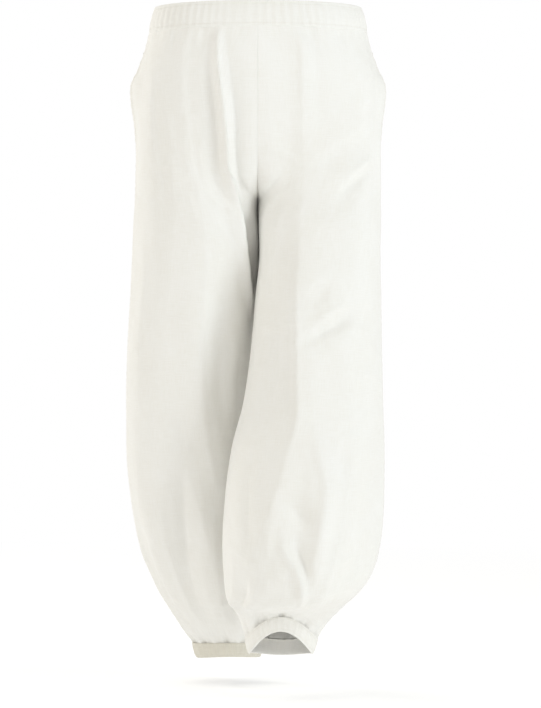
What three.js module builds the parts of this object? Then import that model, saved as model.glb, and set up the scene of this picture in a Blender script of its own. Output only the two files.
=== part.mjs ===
// Baggy pull-on trousers with balloon legs, in the hollow shape they keep when worn in mid-step.
// Millimetres, +Z up. -Y is the front and +X the wearer's left, whose leg is the forward one.
// The origin is the middle of the waist opening, level with the top edge of the waistband.
//
// A point of the cloth has two coordinates. "round" runs from 0 at the side seam to 1 at the
// centre seam or inseam over the front, and to -1 over the back. "drop" is the depth of the side
// seam below the origin at that level.
import * as THREE from "three";

const CLOTH_WALL = 1.4;
const SEAM_GAP = 0.3;
const WAISTBAND = { depth: 36, wall: 3, gathers: 32, gatherHeight: 0.9, stepsPerGather: 4, rows: 2 };
const CROTCH_DROP = 278;
const CUFF = { wall: 2.4, proud: 0.5, gathers: 10, gatherHeight: 0.8, stepsPerGather: 4, rows: 1 };
const PANEL = { columns: 20, hipRows: 11, legRows: 20 };
const HALF_GIRTH = 310;
const NORMAL_STEP = { round: 0.012, drop: 4, centreSeam: 2 };
const ON_SEAM = 1e-6;
const LEVEL_REACH = 26;
const EDGE_REACH = 14;
const FORK_EASE = { start: 40, end: 420, roundStart: 0.35 };
const FORK_BLUR = { reach: 36, roundStart: 0.8, shares: [-1, -0.5, 0, 0.5, 1] };
const THIGH_PRESS = { strength: 0.45, start: 190, full: 270, ease: 320, end: 440, roundStart: 0.5 };
const RELIEF_EASE = { seam: 0.05, crotchStart: 8, crotchEnd: 60 };

const COTTON = { color: 0xefede4, roughness: 0.92, metalness: 0 };
const POCKETING = { color: 0xe9e6da, roughness: 0.95, metalness: 0 };

// The hips: how far the belly and the seat stand from the origin's plane, and how far the centre
// seam has turned under between the legs, from 0 above to 1 at the crotch.
const HIP_COLUMNS = ["drop", "bellyY", "seatY", "forkFront", "forkBack"];
const HIP_ROWS = [
  [0, -98, 98, 0, 0],
  [36, -104, 104, 0, 0],
  [75, -108, 113, 0, 0],
  [116, -110, 120, 0.02, 0.02],
  [160, -111, 125, 0.05, 0.05],
  [205, -111, 126, 0.1, 0.12],
  [240, -110, 122, 0.22, 0.28],
  [262, -107, 118, 0.47, 0.56],
  [278, -104, 116, 1, 1],
];

// Rings of each leg: the side seam, the middle of the front, the inseam and the middle of the
// back. X grows outwards on both legs. Each row's drop is minus its outZ.
const RING_COLUMNS = ["outX", "outY", "outZ", "frontY", "frontZ", "inX", "inY", "inZ", "backY", "backZ"];
const LEFT_RINGS = [
  [150, 0, 0, -98, 0, 0, 10, 0, 98, 0],
  [158, 0, -36, -104, -36, 0, 10, -36, 104, -36],
  [175, -3, -116, -114, -116, 0, 10, -116, 118, -116],
  [177, -8, -205, -122, -205, 0, 10, -205, 118, -205],
  [177, -14, -278, -128, -278, 0, 10, -278, 106, -278],
  [177, -20, -315, -134, -315, 1, -2, -315, 92, -315],
  [176, -27, -352, -140, -352, 2, -16, -352, 80, -352],
  [177, -42, -424, -152, -424, -4, -38, -424, 58, -424],
  [177.5, -60, -496, -164, -496, -10, -58, -496, 36, -496],
  [178.4, -75, -567, -178, -567, -20, -75, -567, 19, -567],
  [180, -88, -638, -195, -638, -37.6, -88, -638, 8, -638],
  [179, -98, -708, -208, -708, -46.7, -98, -708, 0, -708],
  [174, -104, -765, -214, -790, -50, -104, -772, -6, -765],
  [163, -107, -806, -211, -838, -47, -106, -828, -14, -806],
  [146, -109, -834, -203, -853, -43, -108, -850, -26, -832],
  [117, -112, -862, -183, -860, -33, -111, -863, -46, -862],
  [96, -114, -884, -168, -864, -24, -113, -880, -60, -890],
  [84, -115, -904, -163, -869, -17, -115, -902, -66, -910],
  [77, -116, -925, -162, -889, -12, -116, -924, -68, -931],
];
const RIGHT_RINGS = [
  [150, 0, 0, -98, 0, 0, 10, 0, 98, 0],
  [158, 0, -36, -104, -36, 0, 10, -36, 104, -36],
  [175, 1, -116, -108, -116, 0, 10, -116, 120, -116],
  [177, 4, -205, -108, -205, 0, 10, -205, 124, -205],
  [179, 8, -278, -104, -278, 0, 10, -278, 122, -278],
  [180.5, 11, -315, -100, -315, -0.3, 11, -315, 120, -315],
  [182, 14, -350, -94, -350, -1.2, 14, -350, 118, -350],
  [186.5, 20, -423, -82, -423, 1, 20, -423, 116, -423],
  [191, 28, -496, -68, -496, 5, 28, -496, 118, -496],
  [193, 38, -569, -57, -569, 8, 38, -569, 127, -569],
  [193, 50, -643, -45, -643, 4, 50, -643, 142, -643],
  [187.5, 64, -716, -33, -716, 0, 64, -716, 160, -716],
  [180, 73, -760, -26, -762, -2, 73, -765, 172, -760],
  [173, 78, -790, -20, -795, -4, 78, -798, 179, -788],
  [161, 85, -821, -8, -832, -6, 85, -832, 183, -818],
  [148, 91, -851, 8, -862, -8, 91, -862, 182, -848],
  [130.5, 96, -881, 26, -888, -10, 96, -890, 174, -880],
  [111.5, 101, -911, 44, -912, -8, 101, -914, 162, -912],
  [97, 104, -932, 54, -928, -5, 104, -931, 154, -936],
  [91, 105, -952, 56, -947, -3, 105, -951, 153, -956],
];

// Creases of each leg as soft ridges, or troughs where the height is negative. Each row is a
// point of the crease, its height there and how far it spreads on each side.
const CREASE_COLUMNS = ["round", "drop", "height", "before", "after"];
const LEFT_CREASES = [
  // the pleat under the waistband that becomes the long crease down the front
  [[0.75, 44, 3, 30, 30], [0.76, 110, 3, 30, 24], [0.735, 184, 2.5, 40, 30], [0.633, 284, 2.5, 55, 34],
    [0.605, 400, 5, 60, 36], [0.6, 470, 6, 60, 34], [0.585, 538, 6, 56, 34], [0.565, 596, 4, 44, 30],
    [0.585, 646, 4, 38, 28], [0.63, 716, 3, 30, 26], [0.7, 752, 0, 26, 26]],
  // dents on the thigh
  [[0.6, 235, 0, 26, 22], [0.5, 222, -4, 30, 24], [0.36, 206, -3, 28, 24], [0.26, 190, 0, 22, 20]],
  [[0.48, 305, 0, 20, 20], [0.388, 279, -4, 26, 24], [0.25, 243, 0, 20, 20]],
  [[0.55, 488, 0, 20, 18], [0.48, 478, -5, 26, 24], [0.4, 458, -4, 26, 24], [0.3, 428, 0, 22, 22]],
  [[0.56, 444, 0, 18, 18], [0.49, 418, -4, 24, 22], [0.43, 396, 0, 20, 20]],
  // the loop of slack cloth that collapses above the cuff
  [[0.49, 600, 0, 30, 26], [0.455, 648, 5, 34, 28], [0.42, 691, 6, 34, 30], [0.44, 736, 5, 28, 26],
    [0.48, 788, 3, 24, 22], [0.52, 830, 0, 20, 20]],
  [[0.6, 690, 0, 24, 24], [0.53, 722, -7, 30, 26], [0.5, 765, -7, 28, 24], [0.49, 812, -3, 22, 22],
    [0.5, 842, 0, 20, 20]],
  [[0.57, 757, 0, 14, 14], [0.52, 775, 4, 16, 14], [0.487, 815, 2, 14, 14], [0.48, 840, 0, 12, 12]],
  // the notch where the inner edge folds back to the cuff
  [[0.74, 770, 0, 24, 24], [0.78, 806, -5, 26, 24], [0.83, 840, -5, 22, 20], [0.89, 866, 0, 18, 18]],
  // outer side
  [[0.16, 560, 0, 34, 34], [0.13, 660, -4, 40, 34], [0.15, 740, -5, 36, 30], [0.2, 800, 0, 26, 26]],
  // behind: slack under the seat, breaks behind the knee and gathers that fall to the cuff
  [[-0.9, 214, 0, 30, 30], [-0.7, 262, 5, 36, 30], [-0.45, 296, 4, 36, 30], [-0.2, 300, 0, 30, 30]],
  [[-0.86, 300, 0, 30, 28], [-0.62, 352, -6, 36, 32], [-0.36, 366, -4, 34, 30], [-0.16, 350, 0, 28, 26]],
  [[-0.45, 400, 0, 36, 36], [-0.5, 500, 5, 44, 36], [-0.56, 600, 6, 44, 36], [-0.5, 700, 5, 38, 34],
    [-0.46, 790, 0, 30, 30]],
  [[-0.24, 470, 0, 34, 34], [-0.27, 560, -5, 40, 34], [-0.22, 660, -5, 38, 34], [-0.28, 770, 0, 30, 30]],
  [[-0.78, 560, 0, 30, 28], [-0.72, 640, -6, 34, 30], [-0.76, 730, -5, 32, 28], [-0.7, 810, 0, 24, 24]],
];
const RIGHT_CREASES = [
  // the pleat that starts at the waistband and runs to the crotch
  [[0.775, 44, 4, 18, 12], [0.785, 80, 6, 20, 12], [0.81, 128, 7, 22, 12], [0.825, 184, 7, 22, 13],
    [0.822, 225, 7, 22, 14], [0.815, 268, 6, 22, 13], [0.835, 312, 6, 22, 12], [0.865, 352, 5, 20, 11],
    [0.9, 395, 3, 16, 10], [0.93, 430, 0, 12, 10]],
  [[0.89, 262, 0, 12, 14], [0.905, 305, -6, 14, 18], [0.925, 355, -5, 14, 16], [0.95, 400, 0, 10, 12]],
  [[0.735, 60, 0, 22, 14], [0.76, 105, -4, 24, 14], [0.77, 160, -5, 26, 16], [0.755, 225, -4, 28, 18],
    [0.69, 290, 0, 28, 22]],
  // the long edge down the front and the shallow trough inside it
  [[0.56, 250, 0, 46, 40], [0.565, 340, 4, 50, 40], [0.552, 440, 5, 50, 38], [0.56, 540, 5, 46, 36],
    [0.585, 610, 4, 40, 34], [0.62, 690, 0, 34, 30]],
  [[0.66, 300, 0, 26, 30], [0.655, 380, -4, 28, 36], [0.645, 460, -5, 28, 38], [0.67, 560, -4, 28, 36],
    [0.71, 640, 0, 26, 30]],
  // lower leg
  [[0.44, 640, 0, 34, 34], [0.448, 712, -5, 36, 34], [0.43, 775, -7, 34, 34], [0.417, 830, -5, 28, 28],
    [0.42, 880, 0, 22, 22]],
  [[0.58, 720, 0, 26, 26], [0.57, 790, 5, 30, 28], [0.55, 850, 4, 26, 24], [0.53, 900, 0, 20, 20]],
  [[0.26, 680, 0, 30, 30], [0.24, 760, 4, 34, 30], [0.26, 830, 4, 30, 26], [0.3, 890, 0, 22, 22]],
  [[0.12, 620, 0, 30, 30], [0.1, 720, -4, 34, 34], [0.13, 800, -4, 30, 28], [0.18, 870, 0, 22, 22]],
  // behind: drag lines under the seat, the bent knee's slack and the gathers that fall to the cuff
  [[-0.88, 190, 0, 32, 30], [-0.66, 236, 5, 38, 32], [-0.4, 268, 5, 38, 32], [-0.16, 276, 0, 30, 30]],
  [[-0.84, 268, 0, 28, 26], [-0.6, 318, -6, 34, 30], [-0.34, 336, -5, 34, 30], [-0.12, 322, 0, 26, 26]],
  [[-0.4, 410, 0, 34, 34], [-0.46, 520, 6, 42, 36], [-0.5, 640, 7, 42, 38], [-0.44, 760, 6, 36, 34],
    [-0.42, 860, 0, 28, 28]],
  [[-0.66, 460, 0, 30, 30], [-0.7, 560, -6, 36, 32], [-0.66, 680, -7, 36, 32], [-0.68, 800, -4, 30, 28],
    [-0.66, 870, 0, 22, 22]],
  [[-0.2, 560, 0, 32, 32], [-0.22, 660, -5, 38, 34], [-0.18, 780, -5, 34, 30], [-0.22, 870, 0, 24, 24]],
];

// Gathers under the waistband and above the cuffs: how many fall in one panel, how high they
// stand at the seam and how far they run into the cloth. The heights and lengths are uneven.
const WAIST_GATHERS = { perPanel: 5, height: 2.2, run: 46, uneven: 0.45 };
const CUFF_GATHERS = { perPanel: 5, height: 3, run: 52, uneven: 0.4 };
const GATHER_BEAT = { front: 1, back: 4, step: 2.4, tall: 1.7, run: 2.9 };

// In-seam pockets: where the mouth opens and the bag hangs, and how the cloth stands off there.
const POCKET_MOUTH = { top: 64, bottom: 212, lip: 2.2, lipReach: 14, topEase: 28, bottomEase: 40 };
const POCKET_BAG = {
  roundStart: 0.035,
  roundEnd: 0.5,
  top: 72,
  bottom: 300,
  neckWidth: 0.55,
  neckShare: 0.45,
  cornerShare: 0.34,
  cornerCut: 0.85,
  clear: 1.6,
  wall: 1.4,
  columns: 12,
  rows: 16,
};
const HIP_BUMP = { drop: 118, height: 7.5, above: 30, below: 62, reach: 60 };

const CUFFS = {
  left: { top: 904, hem: 925 },
  right: { top: 932, hem: 952 },
};

// A table's rows as objects with the names of its columns.
function namedRows(columns, rows) {
  return rows.map((row) => Object.fromEntries(columns.map((name, i) => [name, row[i]])));
}

// Monotone cubic through a table's rows, one function for each named column.
function curvesThrough(columns, rows, dropOf) {
  const drops = rows.map(dropOf);
  const curves = {};
  columns.forEach((name, column) => {
    const values = rows.map((row) => row[column]);
    curves[name] = monotoneCurve(drops, values);
  });
  return curves;
}

function monotoneCurve(xs, ys) {
  const widths = xs.slice(1).map((x, i) => x - xs[i]);
  const rises = widths.map((width, i) => (ys[i + 1] - ys[i]) / width);
  const slopes = xs.map((x, i) => {
    if (i === 0) return rises[0];
    if (i === xs.length - 1) return rises[i - 1];
    if (rises[i - 1] * rises[i] <= 0) return 0;
    const near = 2 * widths[i] + widths[i - 1];
    const far = widths[i] + 2 * widths[i - 1];
    return (near + far) / (near / rises[i - 1] + far / rises[i]);
  });
  return (x) => {
    const at = THREE.MathUtils.clamp(x, xs[0], xs[xs.length - 1]);
    let i = 0;
    while (i < xs.length - 2 && at > xs[i + 1]) i += 1;
    const width = widths[i];
    const k = (at - xs[i]) / width;
    const start = (1 + 2 * k) * (1 - k) ** 2 * ys[i] + k * (1 - k) ** 2 * width * slopes[i];
    const end = k * k * (3 - 2 * k) * ys[i + 1] + k * k * (k - 1) * width * slopes[i + 1];
    return start + end;
  };
}

function ease(x, start, end) {
  return THREE.MathUtils.smoothstep(x, start, end);
}

const creasesOf = (table) => table.map((rows) => namedRows(CREASE_COLUMNS, rows));
const hip = curvesThrough(HIP_COLUMNS, HIP_ROWS, (row) => row[0]);
const legs = {
  left: {
    sign: 1,
    ring: curvesThrough(RING_COLUMNS, LEFT_RINGS, (row) => -row[2]),
    creases: creasesOf(LEFT_CREASES),
    cuff: CUFFS.left,
  },
  right: {
    sign: -1,
    ring: curvesThrough(RING_COLUMNS, RIGHT_RINGS, (row) => -row[2]),
    creases: creasesOf(RIGHT_CREASES),
    cuff: CUFFS.right,
  },
};

// How far the centre seam has turned under, with its bend spread out away from the seam.
function seamForkAt(curve, part, drop) {
  const reach = FORK_BLUR.reach * (1 - ease(part, FORK_BLUR.roundStart, 1));
  const sum = FORK_BLUR.shares.reduce((total, share) => total + curve(drop + share * reach), 0);
  return sum / FORK_BLUR.shares.length;
}

// The inner thighs press together, which squares off the inner corners of each leg's ring.
function thighPress(part, drop) {
  const { strength, start, full, ease: easeFrom, end, roundStart } = THIGH_PRESS;
  if (part <= roundStart) return 0;
  return strength * ease(drop, start, full) * (1 - ease(drop, easeFrom, end));
}

// The smooth form of one half: an oval round the hips that forks into the leg's own ring.
function formPoint(leg, round, drop) {
  const turn = round > 1 ? round - 2 : round < -1 ? round + 2 : round;
  const part = Math.abs(turn);
  const front = turn >= 0;
  const ring = leg.ring;
  const seamFork = seamForkAt(front ? hip.forkFront : hip.forkBack, part, drop);
  const panelFork = ease(drop, FORK_EASE.start, FORK_EASE.end);
  const fork = THREE.MathUtils.lerp(panelFork, seamFork, ease(part, FORK_EASE.roundStart, 1));
  const faceY = front ? ring.frontY(drop) : ring.backY(drop);
  const faceZ = front ? ring.frontZ(drop) : ring.backZ(drop);
  const middleY = front ? hip.bellyY(drop) : hip.seatY(drop);
  const [outX, outY, outZ] = [ring.outX(drop), ring.outY(drop), ring.outZ(drop)];
  const [inX, inY, inZ] = [ring.inX(drop), ring.inY(drop), ring.inZ(drop)];
  const toOut = Math.cos((Math.PI * part) / 2);
  const toIn = Math.sin((Math.PI * part) / 2);
  const bulge = Math.max(Math.sin(Math.PI * part), 0) ** (1 - thighPress(part, drop));
  const hipX = outX * toOut;
  const hipY = outY * toOut ** 2 + middleY * toIn;
  const legX = outX * toOut ** 2 + inX * toIn ** 2;
  const legY = outY * toOut ** 2 + inY * toIn ** 2 + (faceY - (outY + inY) / 2) * bulge;
  const legZ = outZ * toOut ** 2 + inZ * toIn ** 2 + (faceZ - (outZ + inZ) / 2) * bulge ** 2;
  return new THREE.Vector3(
    leg.sign * THREE.MathUtils.lerp(hipX, legX, fork),
    THREE.MathUtils.lerp(hipY, legY, fork),
    THREE.MathUtils.lerp(-drop, legZ, fork),
  );
}

// Outward direction of any surface of round and drop, with the centre seam kept in its plane.
function outwardAt(surface, leg, round, drop) {
  const lowest = leg.cuff.hem;
  const above = surface(leg, round, Math.max(drop - NORMAL_STEP.drop, 0));
  const below = surface(leg, round, Math.min(drop + NORMAL_STEP.drop, lowest));
  const before = surface(leg, round - NORMAL_STEP.round, drop);
  const after = surface(leg, round + NORMAL_STEP.round, drop);
  const onCentreSeam = Math.abs(Math.abs(round) - 1) < ON_SEAM && drop <= CROTCH_DROP;
  if (onCentreSeam) return centreSeamOutward(surface, leg, round, drop);
  const outward = new THREE.Vector3().crossVectors(after.sub(before), below.sub(above));
  return outward.multiplyScalar(leg.sign).normalize();
}

// On the centre seam the cloth of both halves meets, so its direction lies in their shared plane.
function centreSeamOutward(surface, leg, round, drop) {
  const step = NORMAL_STEP.centreSeam;
  if (drop > CROTCH_DROP - step / 2) return new THREE.Vector3(0, 0, -1);
  const above = surface(leg, round, drop - step);
  const here = surface(leg, round, Math.min(drop + step, CROTCH_DROP));
  const along = here.sub(above);
  const side = Math.sign(round);
  return new THREE.Vector3(0, side * along.z, -side * along.y).normalize();
}

function creaseHeight(points, round, drop) {
  let nearest = Infinity;
  let height = 0;
  for (let i = 0; i + 1 < points.length; i += 1) {
    const [from, to] = [points[i], points[i + 1]];
    const start = new THREE.Vector2(from.round * HALF_GIRTH, from.drop);
    const along = new THREE.Vector2(to.round * HALF_GIRTH, to.drop).sub(start);
    const offset = new THREE.Vector2(round * HALF_GIRTH, drop).sub(start);
    const k = THREE.MathUtils.clamp(offset.dot(along) / along.lengthSq(), 0, 1);
    const away = offset.addScaledVector(along, -k);
    const side = away.cross(along) * Math.sign(along.y || 1) < 0 ? "before" : "after";
    const spread = THREE.MathUtils.lerp(from[side], to[side], k);
    const distance = away.length();
    if (distance >= nearest) continue;
    nearest = distance;
    const share = Math.max(1 - (distance / spread) ** 2, 0) ** 2;
    height = THREE.MathUtils.lerp(from.height, to.height, k) * share;
  }
  return height;
}

// Waves along a gathered seam, highest at the seam, each with its own height and length.
function gatherHeight(kind, round, away) {
  const place = Math.abs(round) * kind.perPanel;
  const wave = 0.5 - 0.5 * Math.cos(2 * Math.PI * place);
  const beat = Math.floor(place) * GATHER_BEAT.step + (round >= 0 ? GATHER_BEAT.front : GATHER_BEAT.back);
  const tall = 1 + kind.uneven * Math.sin(beat * GATHER_BEAT.tall);
  const run = kind.run * (1 + kind.uneven * Math.sin(beat * GATHER_BEAT.run));
  return -kind.height * tall * wave * Math.exp(-((Math.max(away, 0) / run) ** 2));
}

// The front edge of the pocket mouth stands proud of the back panel.
function pocketLip(round, drop) {
  const { top, bottom, lip, lipReach, topEase, bottomEase } = POCKET_MOUTH;
  const across = Math.max(1 - (round * HALF_GIRTH) / lipReach, 0);
  const opening = ease(drop, top, top + topEase) - ease(drop, bottom - bottomEase, bottom);
  return lip * across ** 2 * opening;
}

function hipBump(round, drop) {
  const spread = drop < HIP_BUMP.drop ? HIP_BUMP.above : HIP_BUMP.below;
  const along = Math.max(1 - ((drop - HIP_BUMP.drop) / spread) ** 2, 0) ** 2;
  const across = Math.max(1 - ((round * HALF_GIRTH) / HIP_BUMP.reach) ** 2, 0) ** 2;
  return HIP_BUMP.height * along * across;
}

function reliefAt(leg, round, drop) {
  const heights = leg.creases.map((points) => creaseHeight(points, round, drop));
  const folds = heights.reduce((sum, height) => sum + height, 0);
  const fromSeam = 1 - Math.abs(round);
  const fromCrotch = Math.hypot(fromSeam * HALF_GIRTH, drop - CROTCH_DROP);
  const crotchEase = ease(fromCrotch, RELIEF_EASE.crotchStart, RELIEF_EASE.crotchEnd);
  const waist = gatherHeight(WAIST_GATHERS, round, drop - WAISTBAND.depth);
  const cuff = gatherHeight(CUFF_GATHERS, round, leg.cuff.top - drop);
  return folds * ease(fromSeam, 0, RELIEF_EASE.seam) * crotchEase + waist + cuff + hipBump(round, drop);
}

// The form's outward direction, level at the waistband so that the sewn edges there stay flat.
function formOutward(leg, round, drop) {
  const outward = outwardAt(formPoint, leg, round, drop);
  outward.z *= ease(drop, WAISTBAND.depth, WAISTBAND.depth + LEVEL_REACH);
  return outward.normalize();
}

function clothPoint(leg, round, drop) {
  const turn = round > 1 ? round - 2 : round < -1 ? round + 2 : round;
  const outward = formOutward(leg, turn, drop);
  return formPoint(leg, turn, drop).addScaledVector(outward, reliefAt(leg, turn, drop));
}

// The direction of the wall's thickness: the form's own at the waist and cuff seams.
function clothOutward(leg, round, drop) {
  const toWaist = 1 - ease(drop, WAISTBAND.depth, WAISTBAND.depth + EDGE_REACH);
  const toCuff = ease(drop, leg.cuff.top - EDGE_REACH, leg.cuff.top);
  const outward = outwardAt(clothPoint, leg, round, drop);
  return outward.lerp(formOutward(leg, round, drop), Math.max(toWaist, toCuff)).normalize();
}

// Levels of a panel's rows, closest round the crotch and where the balloon turns in to the cuff.
function panelDrops(leg) {
  const top = WAISTBAND.depth + SEAM_GAP / 2;
  const bottom = leg.cuff.top;
  const drops = [];
  for (let row = 0; row < PANEL.hipRows; row += 1) {
    const k = row / PANEL.hipRows;
    drops.push(THREE.MathUtils.lerp(top, CROTCH_DROP, (k + Math.sin((Math.PI * k) / 2)) / 2));
  }
  for (let row = 0; row <= PANEL.legRows; row += 1) {
    const k = row / PANEL.legRows;
    drops.push(THREE.MathUtils.lerp(CROTCH_DROP, bottom, (k + 0.5 - 0.5 * Math.cos(Math.PI * k)) / 2));
  }
  return drops;
}

// A closed wall from two grids of points that face each other: outside and inside.
function wallBetween(outside, inside, closedRound) {
  const rows = outside.length;
  const columns = outside[0].length;
  const positions = [];
  [outside, inside].flat(2).forEach((p) => positions.push(p.x, p.y, p.z));
  const index = [];
  const at = (layer, row, column) => (layer * rows + row) * columns + (column % columns);
  const quad = (a, b, c, d) => index.push(a, b, c, a, c, d);
  const lastColumn = closedRound ? columns : columns - 1;
  for (let row = 0; row + 1 < rows; row += 1) {
    for (let column = 0; column < lastColumn; column += 1) {
      const next = column + 1;
      quad(at(0, row, column), at(0, row + 1, column), at(0, row + 1, next), at(0, row, next));
      quad(at(1, row, column), at(1, row, next), at(1, row + 1, next), at(1, row + 1, column));
    }
  }
  for (let column = 0; column < lastColumn; column += 1) {
    const next = column + 1;
    const end = rows - 1;
    quad(at(0, 0, column), at(0, 0, next), at(1, 0, next), at(1, 0, column));
    quad(at(0, end, column), at(1, end, column), at(1, end, next), at(0, end, next));
  }
  if (!closedRound) {
    for (let row = 0; row + 1 < rows; row += 1) {
      const end = columns - 1;
      quad(at(0, row, 0), at(1, row, 0), at(1, row + 1, 0), at(0, row + 1, 0));
      quad(at(0, row, end), at(0, row + 1, end), at(1, row + 1, end), at(1, row, end));
    }
  }
  const geometry = new THREE.BufferGeometry();
  geometry.setAttribute("position", new THREE.Float32BufferAttribute(positions, 3));
  geometry.setIndex(index);
  return turnedOutward(geometry);
}

// Reverses the faces if the wall was listed inside out, by the sign of its volume.
function turnedOutward(geometry) {
  const position = geometry.getAttribute("position");
  const index = geometry.getIndex().array;
  const [a, b, c] = [new THREE.Vector3(), new THREE.Vector3(), new THREE.Vector3()];
  let volume = 0;
  for (let i = 0; i < index.length; i += 3) {
    a.fromBufferAttribute(position, index[i]);
    b.fromBufferAttribute(position, index[i + 1]);
    c.fromBufferAttribute(position, index[i + 2]);
    volume += a.dot(b.cross(c));
  }
  if (volume < 0) {
    for (let i = 0; i < index.length; i += 3) [index[i + 1], index[i + 2]] = [index[i + 2], index[i + 1]];
  }
  geometry.computeVertexNormals();
  return geometry;
}

// Moves a seam's row of points half the seam gap towards the row beside it.
function pullSeamRow(grid, seamRow, besideRow) {
  grid[seamRow].forEach((point, column) => {
    const inward = grid[besideRow][column].clone().sub(point).normalize();
    point.addScaledVector(inward, SEAM_GAP / 2);
  });
}

// Moves the end points of a row in by half the seam gap, towards the row's own middle.
function pullSeamEdges(row) {
  const last = row.length - 1;
  [[0, 1], [last, last - 1]].forEach(([edge, inner]) => {
    const inward = row[inner].clone().sub(row[edge]).normalize();
    row[edge].addScaledVector(inward, SEAM_GAP / 2);
  });
}

function panelGrids(leg, face) {
  const outside = [];
  const inside = [];
  const side = face === "front" ? 1 : -1;
  panelDrops(leg).forEach((drop) => {
    const outerRow = [];
    const innerRow = [];
    for (let column = 0; column <= PANEL.columns; column += 1) {
      const round = (side * column) / PANEL.columns;
      const point = clothPoint(leg, round, drop);
      const outward = clothOutward(leg, round, drop);
      if (side > 0) point.addScaledVector(outward, pocketLip(round, drop));
      const inner = point.clone().addScaledVector(outward, -CLOTH_WALL);
      outerRow.push(point);
      innerRow.push(inner);
    }
    [outerRow, innerRow].forEach((row) => {
      pullSeamEdges(row);
      row.forEach((point) => {
        point.x += (leg.sign * SEAM_GAP) / 2;
      });
    });
    outside.push(outerRow);
    inside.push(innerRow);
  });
  [outside, inside].forEach((grid) => pullSeamRow(grid, grid.length - 1, grid.length - 2));
  return { outside, inside };
}

function panelGeometry(leg, face) {
  const { outside, inside } = panelGrids(leg, face);
  return wallBetween(outside, inside, false);
}

function waistbandGeometry() {
  const steps = WAISTBAND.gathers * WAISTBAND.stepsPerGather;
  const bottom = WAISTBAND.depth - SEAM_GAP / 2;
  const outside = [];
  const inside = [];
  for (let row = 0; row <= WAISTBAND.rows; row += 1) {
    const drop = (bottom * row) / WAISTBAND.rows;
    const crown = Math.sin((Math.PI * row) / WAISTBAND.rows);
    const outerRow = [];
    const innerRow = [];
    for (let step = 0; step < steps; step += 1) {
      const turn = (4 * step) / steps;
      const leg = turn < 2 ? legs.left : legs.right;
      const round = turn < 2 ? 1 - turn : turn - 3;
      const point = formPoint(leg, round, drop);
      const outward = formOutward(leg, round, drop);
      const ripple = 0.5 + 0.5 * Math.cos((2 * Math.PI * step) / WAISTBAND.stepsPerGather);
      const relief = WAISTBAND.gatherHeight * (ripple + crown);
      outerRow.push(point.clone().addScaledVector(outward, relief));
      innerRow.push(point.clone().addScaledVector(outward, -WAISTBAND.wall));
    }
    outside.push(outerRow);
    inside.push(innerRow);
  }
  return wallBetween(outside, inside, true);
}

function cuffGeometry(leg) {
  const steps = CUFF.gathers * CUFF.stepsPerGather;
  const outside = [];
  const inside = [];
  for (let row = 0; row <= CUFF.rows; row += 1) {
    const drop = THREE.MathUtils.lerp(leg.cuff.top, leg.cuff.hem, row / CUFF.rows);
    const outerRow = [];
    const innerRow = [];
    for (let step = 0; step < steps; step += 1) {
      const round = 1 - (2 * step) / steps;
      const outward = formOutward(leg, round, drop);
      const ripple = 0.5 + 0.5 * Math.cos((2 * Math.PI * step) / CUFF.stepsPerGather);
      const point = formPoint(leg, round, drop);
      point.x += (leg.sign * SEAM_GAP) / 2;
      outerRow.push(point.clone().addScaledVector(outward, CUFF.proud + CUFF.gatherHeight * ripple));
      innerRow.push(point.clone().addScaledVector(outward, CUFF.proud - CUFF.wall));
    }
    outside.push(outerRow);
    inside.push(innerRow);
  }
  [outside, inside].forEach((grid) => pullSeamRow(grid, 0, 1));
  return wallBetween(outside, inside, true);
}

// A point inside the front panel, between the four nearest corners of its facets.
function behindFrontPanel(leg, panel, round, drop, depth) {
  const drops = panelDrops(leg);
  const row = Math.max(drops.findIndex((value) => value > drop) - 1, 0);
  const down = (drop - drops[row]) / (drops[row + 1] - drops[row]);
  const column = Math.floor(round * PANEL.columns);
  const across = round * PANEL.columns - column;
  const upper = panel[row][column].clone().lerp(panel[row][column + 1], across);
  const lower = panel[row + 1][column].clone().lerp(panel[row + 1][column + 1], across);
  return upper.lerp(lower, down).addScaledVector(clothOutward(leg, round, drop), -depth);
}

// How far round the leg the pocket bag reaches: narrow at its neck, cut off at its lower corner.
function pocketReach(down) {
  const { roundStart, roundEnd, neckWidth, neckShare, cornerShare, cornerCut } = POCKET_BAG;
  const neck = ease(down, 0, neckShare) * (1 - neckWidth) + neckWidth;
  const low = Math.max((down - (1 - cornerShare)) / cornerShare, 0);
  return (roundEnd - roundStart) * neck * Math.sqrt(1 - cornerCut * low ** 2);
}

// The pocket bag follows the front panel's inner face.
function pocketGeometry(leg) {
  const { roundStart, top, bottom, clear, wall, columns, rows } = POCKET_BAG;
  const panel = panelGrids(leg, "front").inside;
  const outside = [];
  const inside = [];
  for (let row = 0; row <= rows; row += 1) {
    const down = row / rows;
    const drop = THREE.MathUtils.lerp(top, bottom, down);
    const outerRow = [];
    const innerRow = [];
    for (let column = 0; column <= columns; column += 1) {
      const round = roundStart + (pocketReach(down) * column) / columns;
      outerRow.push(behindFrontPanel(leg, panel, round, drop, clear));
      innerRow.push(behindFrontPanel(leg, panel, round, drop, clear + wall));
    }
    outside.push(outerRow);
    inside.push(innerRow);
  }
  return wallBetween(outside, inside, false);
}

function pieceOf(name, geometry, finish) {
  const material = new THREE.MeshStandardMaterial({ ...finish, side: THREE.DoubleSide });
  const mesh = new THREE.Mesh(geometry, material);
  mesh.name = name;
  return mesh;
}

const trousers = new THREE.Group();
trousers.add(pieceOf("waistband", waistbandGeometry(), COTTON));
Object.entries(legs).forEach(([side, leg]) => {
  trousers.add(pieceOf(`front_${side}`, panelGeometry(leg, "front"), COTTON));
  trousers.add(pieceOf(`back_${side}`, panelGeometry(leg, "back"), COTTON));
  trousers.add(pieceOf(`cuff_${side}`, cuffGeometry(leg), COTTON));
  trousers.add(pieceOf(`pocket_${side}`, pocketGeometry(leg), POCKETING));
});

export default trousers;
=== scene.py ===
import math

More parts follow.
